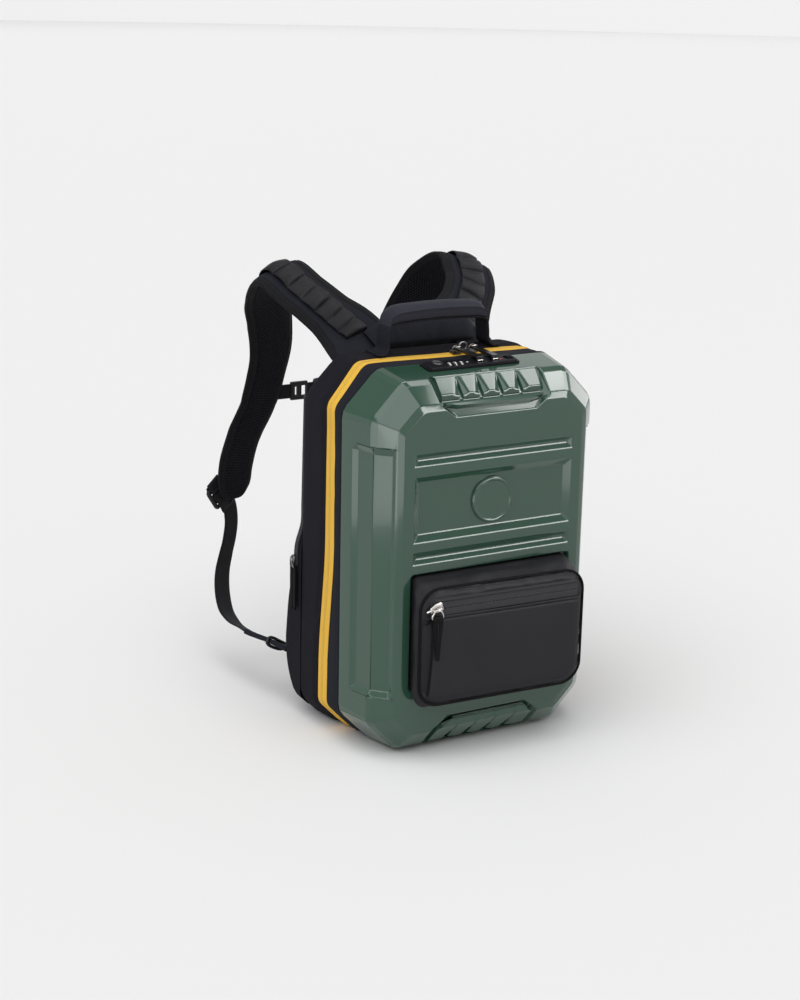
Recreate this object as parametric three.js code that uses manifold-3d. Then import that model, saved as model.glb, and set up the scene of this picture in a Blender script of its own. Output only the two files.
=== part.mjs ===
// An expandable backpack with a moulded front shell, as an assembly of named pieces.
// Millimetres, +Z up. The shell faces -Y, and the bag stands on its base at z = 0.
import * as THREE from "three";
import { ConvexGeometry } from "three/addons/geometries/ConvexGeometry.js";
import { mergeVertices } from "three/addons/utils/BufferGeometryUtils.js";
import Module from "manifold-3d";

const wasm = await Module();
wasm.setup();

// Driving sizes of the bag
const bagWidth = 338;
const bagHeight = 484;
const shellDepth = 82.5; // rim plane to front face
const shellWall = 3;
const bodyDepth = 138; // rim plane to the flat of the back
const backRound = 38; // radius between the body's sides and its back
const backLean = 13; // how much shallower the body is at its top
const cornerFill = 262; // depth at which the body's low corners would be square
const clothWall = 3;
const rimSetback = 85; // rim plane to the origin, which is in the middle of the flat base
const gap = 0.3; // between pieces sewn or pressed together
const beadDepth = 7; // piping that covers the shell's edge
const beadProud = 2; // how far the piping stands out from the cloth behind it
const zipWidth = 24;
const zipSetback = 32; // rim plane to the middle of the zip, half-way up a side
const cornerRound = 9;

// Recesses moulded into the shell's front
const frontRecessWidth = 226;
const channelHeight = 15.5;
const channelDepth = 4.5;
const channelSlope = 6;
const upperChannelZ = 386.5;
const lowerChannelZ = 263;
const panelTop = 366;
const panelBottom = 283;
const panelDepth = 6;
const panelSlope = 9;
const bossDiameter = 57;
const bossRise = 3.5;
const nicheTop = 243;
const nicheBottom = 92;
const nicheWidth = 230;
const nicheDepth = 8;
const nicheSlope = 2;

// Ribbed recesses over the front's upper and lower bevel, and the long recesses of the sides
const ribPitch = 28.5;
const ribCount = 5;
const ribRecessDepth = 9.5; // under the bevel, at the foot of the ribs
const ribRecessWidth = 156;
const ribRise = 5.5; // ribs above the recess's floor
const ribLength = 36;
const sideRecessTop = 401;
const sideRecessBottom = 84;
const sideRecessDepth = 4;
const sideRecessSlope = 8;

// Front pocket
const pocketBulge = 34; // front face to pocket front
const pocketSkew = 6; // the pocket stands out more at its right end, and less at its left
const pocketWidth = 226;
const pocketHeight = 147;
const pocketBottom = 82;
const pocketCloth = 2.5;
const pocketZipInset = 9; // the pocket's side to the end of its zip's band
const pipingRadius = 1.7;
const pocketZipHeight = 18;
const pocketZipZ = 206;
const pocketSliderX = -97;
const pocketPullLength = 56;

// Handle
const handleSpan = 148; // between the feet's middles
const handleRise = 65; // body top to the top of the grip
const handleWidth = 30;
const handleBack = 72; // rim plane to the handle's middle
const webbing = 2.4;
const gripThickness = 16;
const gripLength = 136;

// Padded back
const lumbarTop = 256;
const lumbarBottom = 16;
const lumbarBulge = 36; // behind the flat of the back
const lumbarFront = 106; // rim plane to the pad's seam on the sides
const backPadWidth = 222;
const backPadDrop = 38; // the body's top to the pad's top
const backPadTop = bagHeight - backPadDrop;
const backPadRound = 26;
const backPadSlope = 8; // how far its face is set in from its edge
const lumbarRound = 30;
const backPadThickness = 11;

// Shoulder straps
const strapWidth = 78;
const strapThickness = 13;
const strapReach = 232; // how far the straps stand out behind the flat of the back
const strapRise = 84; // above the body's top
const strapDrop = 257; // pad end below the body's top
const daisyWidth = 38;
const daisyThickness = 1.8;
const daisyFolds = 5;
const daisyLift = 2.6;
const lowerWebWidth = 25;
const lowerWebTop = 222; // where it leaves the ladder lock, over the ground
const lockerWidth = 37;
const lockerHeight = 35;
const lockerThickness = 5;
const lockerBar = 4.5;
const lockTab = { length: 24, thickness: 1.6 };
const tabWidth = 28;
const tabThickness = 4.4;
const sternumWidth = 20;
const sternumDrop = strapDrop * 0.44; // below the body's top
const sternumShare = 0.67; // of the free webbing that lies outside each adjuster
const sternumAdjuster = { length: 26, width: 26, thickness: 5 };
const claspLength = 34;
const claspWidth = 30;
const claspThickness = 9;

// Combination lock on the shell's top
const lockWidth = 132;
const lockDepth = 28;
const lockHeight = 4.2;
const lockBack = 17; // rim plane to the lock's middle
const dialRadius = 6.5;
const dialWidth = 6;
const dialPitch = 8.5;
const dialCount = 3;
const dialsX = -24;
const dialsY = -3;
const dialSink = 1.2; // the axle below the shell's face
const axleRadius = 1.6;
const dialPlay = 0.8;
const plugRadius = 5;
const plugX = -45;
const plugY = 4;
const buttonLength = 8;
const buttonTravel = 3;
const buttonX = 56;
const indicatorX = 42;
const indicatorRadius = 1.5;
const dockXs = [11, 33];
const dockY = -4;

// Zip sliders and pulls
const sliderLength = 13;
const sliderWidth = 10;
const sliderHeight = 4;
const sliderXs = [14, 38];
const pullWidth = 9;
const pullThickness = 3.4;
const ringWire = 1.1;
const ringRadius = 5.5;
const sideZipWidth = 9;
const sideZipThickness = 2.6;
const sideZipDrop = 52; // the body's top to the zip's top end
const sideZipTop = bagHeight - sideZipDrop;
const sideZipBottom = 206;
const sideSliderZ = 214;
const sideZipBack = 119; // rim plane to the zip's line
const sidePullLength = 61;
const sidePullWidth = 7;

// Places worked out from the sizes above
const rimY = -rimSetback;
const frontY = rimY - shellDepth;
const backY = rimY + bodyDepth;
const bodyTop = bagHeight;

const colours = {
  shell: { color: 0x4c6b5a, roughness: 0.18, metalness: 0 },
  cloth: { color: 0x26252a, roughness: 0.85, metalness: 0 },
  trim: { color: 0x2b2931, roughness: 0.7, metalness: 0 },
  zip: { color: 0xefc14c, roughness: 0.6, metalness: 0 },
  mesh: { color: 0x121214, roughness: 0.95, metalness: 0 },
  webbing: { color: 0x1d1d21, roughness: 0.9, metalness: 0 },
  coated: { color: 0x2d2b32, roughness: 0.55, metalness: 0 },
  plastic: { color: 0x161618, roughness: 0.45, metalness: 0 },
  metal: { color: 0xb9b4ac, roughness: 0.3, metalness: 1 },
  gunmetal: { color: 0x4a4741, roughness: 0.35, metalness: 1 },
  red: { color: 0xb4122a, roughness: 0.4, metalness: 0 },
};
const materials = Object.fromEntries(
  Object.entries(colours).map(([name, look]) => [name, new THREE.MeshStandardMaterial(look)]),
);

const bag = new THREE.Group();

function addMesh(name, geometry, look, parent = bag) {
  const mesh = new THREE.Mesh(geometry, materials[look]);
  mesh.name = name;
  parent.add(mesh);
  return mesh;
}

// Solids: closed geometry to manifold-3d and back
function toSolid(geometry) {
  const bare = new THREE.BufferGeometry();
  bare.setAttribute("position", geometry.getAttribute("position"));
  bare.setIndex(geometry.index);
  const merged = mergeVertices(bare, 1e-4);
  return new wasm.Manifold(
    new wasm.Mesh({
      numProp: 3,
      vertProperties: new Float32Array(merged.attributes.position.array),
      triVerts: new Uint32Array(merged.index.array),
    }),
  );
}

function toGeometry(solid) {
  const made = solid.getMesh();
  const geometry = new THREE.BufferGeometry();
  geometry.setAttribute("position", new THREE.BufferAttribute(made.vertProperties, made.numProp));
  geometry.setIndex(new THREE.BufferAttribute(made.triVerts, 1));
  return geometry;
}

function cut(base, ...tools) {
  return tools.reduce((solid, tool) => solid.subtract(tool), base);
}

function join(base, ...others) {
  return others.reduce((solid, other) => solid.add(other), base);
}

// A closed skin through loops of equal length. Open ends are capped, and a ring's last loop joins its first.
function skin(loops, ring = false) {
  const count = loops[0].length;
  const positions = loops.flat().flatMap((p) => [p.x, p.y, p.z]);
  const faces = [];
  const bands = ring ? loops.length : loops.length - 1;
  for (let row = 0; row < bands; row++) {
    const next = (row + 1) % loops.length;
    for (let i = 0; i < count; i++) {
      const j = (i + 1) % count;
      const [a, b, c, d] = [row * count + i, row * count + j, next * count + j, next * count + i];
      faces.push([a, b, c], [a, c, d]);
    }
  }
  const last = (loops.length - 1) * count;
  for (let i = 1; !ring && i < count - 1; i++)
    faces.push([0, i + 1, i], [last, last + i, last + i + 1]);
  const at = (i) => new THREE.Vector3().fromArray(positions, 3 * i);
  const volume = faces.reduce((sum, [a, b, c]) => sum + at(a).dot(at(b).cross(at(c))), 0);
  const geometry = new THREE.BufferGeometry();
  geometry.setAttribute("position", new THREE.Float32BufferAttribute(positions, 3));
  geometry.setIndex(faces.flatMap((f) => (volume < 0 ? [f[0], f[2], f[1]] : f)));
  return geometry;
}

function box(x, y, z, at = [0, 0, 0]) {
  return new THREE.BoxGeometry(x, y, z).translate(...at);
}

// A round bar along X, Y or Z
function bar(radius, length, axis, at = [0, 0, 0], sides = 10) {
  const made = new THREE.CylinderGeometry(radius, radius, length, sides);
  if (axis === "x") made.rotateZ(Math.PI / 2);
  if (axis === "z") made.rotateX(Math.PI / 2);
  return made.translate(...at);
}

// A wire ring about Z
function wireRing(radius, wire, at = [0, 0, 0]) {
  return new THREE.TorusGeometry(radius, wire, 6, 14).translate(...at);
}

// The value of a column of a table at a place along it, between rows in straight steps
function lookUp(rows, key, place, column) {
  const next = rows.findIndex((row) => row[key] >= place);
  if (next <= 0) return rows[next < 0 ? rows.length - 1 : 0][column];
  const [low, high] = [rows[next - 1], rows[next]];
  const share = (place - low[key]) / (high[key] - low[key]);
  return THREE.MathUtils.lerp(low[column], high[column], share);
}

// An upright outline with cut corners, symmetric about x = 0. along is each point's place on its half.
function outline({ half, low, high, cutX, cutZ, lowX = cutX, lowZ = cutZ, round = cornerRound }) {
  const corners = [
    new THREE.Vector2(0, low),
    new THREE.Vector2(half - lowX, low),
    new THREE.Vector2(half, low + lowZ),
    new THREE.Vector2(half, high - cutZ),
    new THREE.Vector2(half - cutX, high),
    new THREE.Vector2(0, high),
  ];
  const steps = [2, 2, 6, 2, 3];
  const path = new THREE.Path();
  path.moveTo(corners[0].x, corners[0].y);
  let from = corners[0];
  for (let k = 1; k < corners.length; k++) {
    const rounded = k < corners.length - 1;
    const back = corners[k - 1].clone().sub(corners[k]).setLength(rounded ? round : 0);
    const to = corners[k].clone().add(back);
    for (let s = 1; s <= steps[k - 1]; s++) {
      const p = from.clone().lerp(to, s / steps[k - 1]);
      path.lineTo(p.x, p.y);
    }
    if (!rounded) break;
    from = corners[k].clone().add(corners[k + 1].clone().sub(corners[k]).setLength(round));
    path.quadraticCurveTo(corners[k].x, corners[k].y, from.x, from.y);
  }
  const right = path.getPoints(2);
  const lengths = [0];
  right.slice(1).forEach((p, i) => lengths.push(lengths[i] + p.distanceTo(right[i])));
  const total = lengths[right.length - 1];
  const half1 = right.map((p, i) => ({ x: p.x, z: p.y, along: lengths[i] / total }));
  const half2 = half1.slice(1, -1).reverse();
  return [...half1, ...half2.map((p) => ({ ...p, x: -p.x }))];
}

// The rim's outline, moved inwards by an inset. The corner cuts shrink as an even inset makes them,
// and those at the base shrink with the distance behind the rim as well.
const rimCutX = 46;
const rimCutZ = 48;
const lowCut = (back) => 1 - back / cornerFill;
function rimOutline(inset, back = 0) {
  const shrink = inset * (2 - Math.SQRT2);
  return outline({
    half: bagWidth / 2 - inset,
    low: inset,
    high: bagHeight - inset,
    cutX: rimCutX - shrink,
    cutZ: rimCutZ - shrink,
    lowX: rimCutX * lowCut(back) - shrink,
    lowZ: rimCutZ * lowCut(back) - shrink,
    round: Math.max(cornerRound - inset * 0.1, 2),
  });
}

const lift = (points, y) =>
  points.map((p) => new THREE.Vector3(p.x, typeof y === "function" ? y(p) : y, p.z));

// Shell sections, from the rim to the front face. depth is a share of shellDepth. side and cutX are
// shares of bagWidth; top, bottom and cutZ of bagHeight. wallIn and wallBack are shares of the wall.
const shellSections = [
  { depth: 0, side: 0, top: 0, bottom: 0, cutX: 0.136, cutZ: 0.099, wallIn: 1, wallBack: 0 },
  { depth: 0.674, side: 0.035, top: 0.016, bottom: 0.012, cutX: 0.121, cutZ: 0.087, wallIn: 1, wallBack: 0.4 },
  { depth: 1, side: 0.112, top: 0.072, bottom: 0.074, cutX: 0.077, cutZ: 0.054, wallIn: 0.4, wallBack: 1 },
];
const edgeShares = { rimToEdge: 0.93, edgeToFront: 0.14, bevelEnd: 0.88, frontInset: 0.014 };

function mixSection(a, b, share) {
  return Object.fromEntries(
    Object.keys(a).map((key) => [key, THREE.MathUtils.lerp(a[key], b[key], share)]),
  );
}

// The same sections with the two edges eased by a narrow flat
function easedSections() {
  const [rim, edge, front] = shellSections;
  return [
    rim,
    mixSection(rim, edge, edgeShares.rimToEdge),
    mixSection(edge, front, edgeShares.edgeToFront),
    mixSection(edge, front, edgeShares.bevelEnd),
    {
      ...front,
      side: front.side + edgeShares.frontInset,
      top: front.top + edgeShares.frontInset * 0.7,
      bottom: front.bottom + edgeShares.frontInset * 0.7,
    },
  ];
}

function shellLoop(section, wall = 0) {
  const inset = section.wallIn * wall;
  return lift(
    outline({
      half: bagWidth / 2 - section.side * bagWidth - inset,
      low: section.bottom * bagHeight + inset,
      high: bagHeight - section.top * bagHeight - inset,
      cutX: section.cutX * bagWidth - inset * 0.586,
      cutZ: section.cutZ * bagHeight - inset * 0.586,
      round: cornerRound * (1 - 0.4 * section.depth),
    }),
    rimY - section.depth * shellDepth + section.wallBack * wall,
  );
}

// A point of the shell's side and bevel in plan. place 0 to 1 is the side, 1 to 2 the bevel.
function shellSide(place, sink) {
  const [rim, edge, front] = shellSections;
  const [a, b] = place < 1 ? [rim, edge] : [edge, front];
  const share = place < 1 ? place : place - 1;
  const x = (s) => bagWidth / 2 - s.side * bagWidth;
  const y = (s) => rimY - s.depth * shellDepth;
  const along = new THREE.Vector2(x(b) - x(a), y(b) - y(a)).normalize();
  const inward = new THREE.Vector2(along.y, -along.x);
  return new THREE.Vector2(
    THREE.MathUtils.lerp(x(a), x(b), share),
    THREE.MathUtils.lerp(y(a), y(b), share),
  ).addScaledVector(inward, sink);
}

// A convex outline moved outwards, or inwards with a negative distance
function grown(points, distance) {
  const turn = THREE.ShapeUtils.isClockWise(points) ? -1 : 1;
  return points.map((p, i) => {
    const before = p.clone().sub(points.at(i - 1)).normalize();
    const after = points[(i + 1) % points.length].clone().sub(p).normalize();
    const [n1, n2] = [before, after].map((d) => new THREE.Vector2(d.y, -d.x).multiplyScalar(turn));
    const mitre = n1.clone().add(n2);
    return p.clone().addScaledVector(mitre, distance / (1 + n1.dot(n2)));
  });
}

const corners4 = (half, low, high) => [
  new THREE.Vector2(-half, low),
  new THREE.Vector2(half, low),
  new THREE.Vector2(half, high),
  new THREE.Vector2(-half, high),
];

function roundedRect(x0, x1, z0, z1, radius) {
  const shape = new THREE.Path();
  shape.moveTo(x0 + radius, z0);
  shape.lineTo(x1 - radius, z0);
  shape.quadraticCurveTo(x1, z0, x1, z0 + radius);
  shape.lineTo(x1, z1 - radius);
  shape.quadraticCurveTo(x1, z1, x1 - radius, z1);
  shape.lineTo(x0 + radius, z1);
  shape.quadraticCurveTo(x0, z1, x0, z1 - radius);
  shape.lineTo(x0, z0 + radius);
  shape.quadraticCurveTo(x0, z0, x0 + radius, z0);
  return shape.getPoints(3).slice(0, -1);
}

// A recess with sloping walls. Its outline lies on the face, and the cutter stands out of it a little.
// wall makes the larger copy that keeps the shell's thickness behind the recess.
function recess(points, depth, slope, toFace, wall = 0) {
  const out = 12;
  const mouth = grown(points, wall);
  const wide = grown(mouth, (slope * out) / depth);
  const floor = grown(mouth, -slope);
  const loops = [
    [wide, -out],
    [mouth, 0],
    [floor, depth + wall],
  ].map(([loop, y]) => loop.map((p) => new THREE.Vector3(p.x, y, p.y)));
  return toSolid(skin(loops).applyMatrix4(toFace));
}

const onFront = new THREE.Matrix4().makeTranslation(0, frontY, 0);

function frontRecesses(wall) {
  const half = frontRecessWidth / 2;
  const channel = (z) =>
    recess(
      corners4(half, z - channelHeight / 2, z + channelHeight / 2),
      channelDepth,
      channelSlope,
      onFront,
      wall,
    );
  const panel = recess(
    corners4(half, panelBottom, panelTop),
    panelDepth,
    panelSlope,
    onFront,
    wall,
  );
  const boss = bar(
    bossDiameter / 2 - wall,
    2 * bossRise,
    "y",
    [0, frontY + panelDepth + wall, (panelTop + panelBottom) / 2],
    28,
  );
  const niche = recess(
    roundedRect(-nicheWidth / 2, nicheWidth / 2, nicheBottom, nicheTop, 5),
    nicheDepth,
    nicheSlope,
    onFront,
    wall,
  );
  return [channel(upperChannelZ), channel(lowerChannelZ), cut(panel, toSolid(boss)), niche];
}

// The frame of the bevel at the shell's top or base: x across, z up the slope, y into the shell
function bevelFrame(side) {
  const [, edge, front] = shellSections;
  const z = (s) => (side > 0 ? bagHeight * (1 - s.top) : bagHeight * s.bottom);
  const top = new THREE.Vector3(0, rimY - edge.depth * shellDepth, z(edge));
  const low = new THREE.Vector3(0, frontY, z(front));
  const up = top.clone().sub(low).normalize();
  const across = new THREE.Vector3(side, 0, 0);
  const inward = up.clone().cross(across);
  return new THREE.Matrix4().makeBasis(across, inward, up).setPosition(low);
}

// The ribbed recess of a bevel. across is a share of ribRecessWidth, up runs along the bevel from the
// front face, and deep is under the bevel's plane. grow says how the row moves in the larger copy.
const ribRecessRows = [
  { across: 0.34, up: 0, deep: 1, growUp: -1.5, growDeep: 1 }, // floor's foot
  { across: 0.45, up: 4, deep: 0.94, growUp: -0.5, growDeep: 1 },
  { across: 0.46, up: 41, deep: 0.61, growUp: 1.5, growDeep: 1 }, // floor's head
  { across: 0.36, up: -10.6, deep: 1.1, growUp: -1.5, growDeep: 0.6 }, // lip on the front face
  { across: 0.5, up: 1.4, deep: 0, growUp: -0.5, growDeep: 0 },
  { across: 0.5, up: 44.2, deep: 0.48, growUp: 1.5, growDeep: 0.5 }, // lip on the shell's top face
  { across: 0.37, up: -20, deep: 0.05, growUp: -1.5, growDeep: 0 }, // outside the shell
  { across: 0.53, up: -6, deep: -1.3, growUp: -0.5, growDeep: 0 },
  { across: 0.53, up: 47, deep: -1.3, growUp: 1.5, growDeep: 0 },
];
const ribFloor = (up) =>
  ribRecessDepth * THREE.MathUtils.mapLinear(up, 0, ribRecessRows[2].up, 1, ribRecessRows[2].deep);

function ribRecess(side, wall) {
  const frame = bevelFrame(side);
  const points = ribRecessRows.flatMap((row) =>
    [-1, 1].map(
      (hand) =>
        new THREE.Vector3(
          hand * (row.across * ribRecessWidth + wall),
          row.deep * ribRecessDepth + row.growDeep * wall,
          row.up + row.growUp * wall,
        ),
    ),
  );
  const whole = toSolid(new ConvexGeometry(points).applyMatrix4(frame));
  if (wall > 0) return whole;
  const half = ribPitch / 2;
  // Half a rib's section, as shares of half the pitch and of the rise
  const foot = [-1, 1].map((x) => [x * 0.99, -0.4]);
  const ribs = Array.from({ length: ribCount }, (_, i) => {
    const middle = (i - (ribCount - 1) / 2) * ribPitch;
    const section = (up, width, rise) =>
      [...foot, [-0.74 * width, rise], [-0.05, rise * 1.06], [0.9 * width, rise * 0.62]].map(
        ([x, h]) => new THREE.Vector3(middle + x * half, ribFloor(up) - h * ribRise, up),
      );
    const rib = new ConvexGeometry([
      ...section(3, 0.72, 0.25),
      ...section(7, 0.92, 0.9),
      ...section(ribLength, 1, 1),
      ...section(ribLength + 8, 0.9, 0.2),
    ]);
    return toSolid(rib.applyMatrix4(frame));
  });
  return cut(whole, ...ribs);
}

// The long recess of a side, which turns over the bevel
function sideRecess(hand, wall) {
  const depth = sideRecessDepth + wall;
  const run = 55.6;
  const places = [
    { place: 0.36 - wall / run, sink: 0 },
    { place: 0.5 - wall / run, sink: 1 },
    { place: 0.97, sink: 1 },
    { place: 1.06, sink: 1 },
    { place: 1.68 + wall / run, sink: 1 },
    { place: 1.8 + wall / run, sink: 0 },
  ];
  const outside = 14;
  const level = (z, share) => {
    const inner = places.map((p) => shellSide(p.place, p.sink * depth * share - 0.01));
    const outer = [places.at(-1), places[0]].map((p) => shellSide(p.place, -outside));
    return [...inner, ...outer].map((p) => new THREE.Vector3(hand * p.x, p.y, z));
  };
  const [low, high] = [sideRecessBottom - wall, sideRecessTop + wall];
  return toSolid(
    skin([
      level(low, 0.02),
      level(low + sideRecessSlope, 1),
      level(high - sideRecessSlope, 1),
      level(high, 0.02),
    ]),
  );
}

// The frame of the lock: x across, y to the back, z out of the shell's sloping top
const lockFrame = new THREE.Group();
{
  const [rim, edge] = shellSections;
  const fall = (edge.top - rim.top) * bagHeight;
  const run = edge.depth * shellDepth;
  lockFrame.rotation.x = Math.atan2(fall, run);
  lockFrame.position.set(0, rimY - lockBack, bagHeight - (fall * lockBack) / run);
  lockFrame.updateMatrixWorld(true);
}
const dialX = (i) => dialsX + (i - (dialCount - 1) / 2) * dialPitch;
const dialsSpan = dialCount * dialPitch;
const caseWall = 1.4;
const caseDepth = 2 * (dialRadius + dialPlay + caseWall);
const caseHeight = dialRadius + dialPlay + dialSink + caseWall;

function makeShell() {
  const sections = easedSections();
  const block = toSolid(skin(sections.map((s) => shellLoop(s))));
  const inner = sections.map((s) => shellLoop(s, shellWall));
  const mouth = inner[0].map((p) => p.clone().setY(rimY + 2));
  const hollow = toSolid(skin([mouth, ...inner.slice(1)]));
  const marks = (wall) => [
    ...frontRecesses(wall),
    ribRecess(1, wall),
    ribRecess(-1, wall),
    sideRecess(1, wall),
    sideRecess(-1, wall),
  ];
  const lockHole = box(dialsSpan + 2 * (caseWall + gap), caseDepth + 2 * gap, 20, [dialsX, dialsY, 0]);
  lockHole.applyMatrix4(lockFrame.matrixWorld);
  const shell = cut(cut(block, ...marks(0)), cut(hollow, ...marks(shellWall)), toSolid(lockHole));
  addMesh("shell", toGeometry(shell), "shell");
}

// How far the zip's middle lies behind the rim, as a share of zipSetback, along half of the outline
// from the middle of the base to the middle of the top
const zipLine = [
  { along: 0, back: 1.5 },
  { along: 0.25, back: 1.5 },
  { along: 0.34, back: 1.46 },
  { along: 0.5, back: 1 },
  { along: 0.74, back: 0.97 },
  { along: 0.8, back: 1.15 },
  { along: 0.88, back: 1.5 },
  { along: 1, back: 1.28 },
];
const zipY = (along) => rimY + zipSetback * lookUp(zipLine, "along", along, "back");

// The cloth band between the shell and the zip, with its piping
const zipFront = zipSetback * 1.4 - zipWidth / 2;
const zipRear = zipFront + zipWidth;
function makeRimTrim() {
  const inside = beadProud + clothWall;
  const edge = (p) => zipY(p.along) - zipWidth / 2 - gap;
  const loops = [
    lift(rimOutline(1), rimY + gap),
    lift(rimOutline(0), rimY + beadDepth * 0.3),
    lift(rimOutline(0), rimY + beadDepth * 0.65),
    lift(rimOutline(beadProud), rimY + beadDepth),
    lift(rimOutline(beadProud, zipFront), edge),
    lift(rimOutline(inside, zipFront), edge),
    lift(rimOutline(inside), rimY + gap),
  ];
  addMesh("rim_trim", skin(loops, true), "trim");
}

// The closed main zip, a ring of tape with a raised middle line
function makeMainZip() {
  const side = (shift) => (p) => zipY(p.along) + shift;
  const half = zipWidth / 2;
  const middle = (zipFront + zipRear) / 2;
  const [face, line, under] = [0.4, -0.4, clothWall - 0.6].map((depth) => beadProud + depth);
  const loops = [
    lift(rimOutline(face, zipFront), side(-half)),
    lift(rimOutline(line, middle), side(0)),
    lift(rimOutline(face, zipRear), side(half)),
    lift(rimOutline(under, zipRear), side(half)),
    lift(rimOutline(under, zipFront), side(-half)),
  ];
  addMesh("main_zip", skin(loops, true), "zip");
}

// The cloth body behind the zip. Its edge with the back is round, and its back leans towards the shell.
const roundSteps = 3;
const bodySwell = 12; // behind the zip, where the body comes out to its full outline
const leanAt = (z) => (backLean * z) / bagHeight;
function bodyLoops(inset, frontEdge) {
  const roundStart = bodyDepth - backRound;
  const radius = backRound - inset;
  const leaning = (back) => (p) => rimY + back - leanAt(p.z);
  const loops = [
    lift(rimOutline(beadProud + inset, zipRear), frontEdge),
    lift(rimOutline(inset, zipRear + bodySwell), (p) => zipY(p.along) + zipWidth / 2 + bodySwell),
    lift(rimOutline(inset, roundStart), leaning(roundStart)),
  ];
  for (let k = 1; k <= roundSteps; k++) {
    const angle = (k / roundSteps) * (Math.PI / 2);
    const round = rimOutline(inset + radius * (1 - Math.cos(angle)), roundStart);
    loops.push(lift(round, leaning(roundStart + radius * Math.sin(angle))));
  }
  return loops;
}
const bodyEdge = (p) => zipY(p.along) + zipWidth / 2 + gap;
const bodyBlock = (grow) => toSolid(skin(bodyLoops(-grow, bodyEdge)));

function makeBody() {
  const outside = bodyLoops(0, bodyEdge);
  const inside = bodyLoops(clothWall, (p) => bodyEdge(p) - 2);
  addMesh("body", toGeometry(cut(toSolid(skin(outside)), toSolid(skin(inside)))), "cloth");
}

// The half-width of the body's outline at a height, where the lower pad wraps it
function halfAt(z) {
  const fill = lowCut(lumbarFront);
  return bagWidth / 2 - rimCutX * Math.max(0, fill - z / rimCutZ);
}

// The mesh pad that wraps the lower back. height runs from lumbarBottom to lumbarTop, depth is a share of
// lumbarBulge, and tuck draws the pad's sides in towards its seam at the top.
const lumbarRows = [
  { height: 0, depth: -0.1, tuck: 0 },
  { height: 0.08, depth: 0.46, tuck: 0 },
  { height: 0.18, depth: 0.86, tuck: 0 },
  { height: 0.32, depth: 1.03, tuck: 0 },
  { height: 0.56, depth: 0.86, tuck: 0 },
  { height: 0.77, depth: 0.54, tuck: 0 },
  { height: 0.9, depth: 0.3, tuck: 0.6 },
  { height: 0.96, depth: 0.17, tuck: 2.6 },
  { height: 1, depth: -0.05, tuck: 6 },
];

function lumbarBlock(grow) {
  const loops = lumbarRows.map((row) => {
    const z = THREE.MathUtils.lerp(lumbarBottom - grow, lumbarTop + grow, row.height);
    const rear = backY - leanAt(z) + row.depth * lumbarBulge + grow;
    const half = halfAt(z) - row.tuck + grow;
    const radius = lumbarRound;
    const front = rimY + lumbarFront;
    const plan = new THREE.Path();
    plan.moveTo(half, front);
    plan.lineTo(half, rear - radius);
    plan.quadraticCurveTo(half, rear, half - radius, rear);
    plan.lineTo(half * 0.4, rear);
    plan.lineTo(-half * 0.4, rear);
    plan.lineTo(radius - half, rear);
    plan.quadraticCurveTo(-half, rear, -half, rear - radius);
    plan.lineTo(-half, front);
    return plan.getPoints(4).map((p) => new THREE.Vector3(p.x, p.y, z));
  });
  return toSolid(skin(loops));
}

function makeBackPads() {
  const around = bodyBlock(gap);
  addMesh("lumbar_pad", toGeometry(cut(lumbarBlock(0), around)), "mesh");
  const layers = [
    { inset: 0, back: -1 },
    { inset: 0, back: backPadThickness * 0.45 },
    { inset: backPadSlope, back: backPadThickness },
  ];
  const pad = skin(
    layers.map((layer) => {
      const half = backPadWidth / 2 - layer.inset;
      const [low, high] = [lumbarTop + 6 + layer.inset, backPadTop - layer.inset];
      const loop = roundedRect(-half, half, low, high, backPadRound - layer.inset / 2);
      return loop.map((p) => new THREE.Vector3(p.x, backY - leanAt(p.y) + layer.back, p.y));
    }),
  );
  addMesh("back_pad", toGeometry(cut(toSolid(pad), around, lumbarBlock(gap))), "mesh");
}

// The front pocket: a soft tray with its open side on the niche's floor. out is a share of pocketBulge,
// half of pocketWidth / 2, and low and high are shares of pocketHeight over pocketBottom.
const pocketRows = {
  seat: { out: -0.23, half: 0.993, low: 0.084, high: 1.077, round: 8 },
  mouth: { out: 0.02, half: 0.993, low: 0.084, high: 1.077, round: 8 },
  swell: { out: 0.45, half: 1.035, low: -0.05, high: 1.05, round: 20 },
  piping: { out: 0.85, half: 1, low: 0, high: 1, round: 26 },
  shoulder: { out: 0.96, half: 0.965, low: 0.03, high: 0.97, round: 24 },
  front: { out: 1, half: 0.7, low: 0.25, high: 0.75, round: 12 },
};
const skewAt = (x, out) => (-pocketSkew * Math.max(out, 0) * x) / (pocketWidth / 2);

function pocketLoop(row, inset, back = 0) {
  const half = (row.half * pocketWidth) / 2 - inset;
  const low = pocketBottom + row.low * pocketHeight + inset;
  const high = pocketBottom + row.high * pocketHeight - inset;
  const radius = Math.max(row.round - inset * 0.5, 1.5);
  const y = frontY - row.out * pocketBulge + back;
  return roundedRect(-half, half, low, high, radius).map(
    (p) => new THREE.Vector3(p.x, y + skewAt(p.x, row.out), p.y),
  );
}

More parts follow.
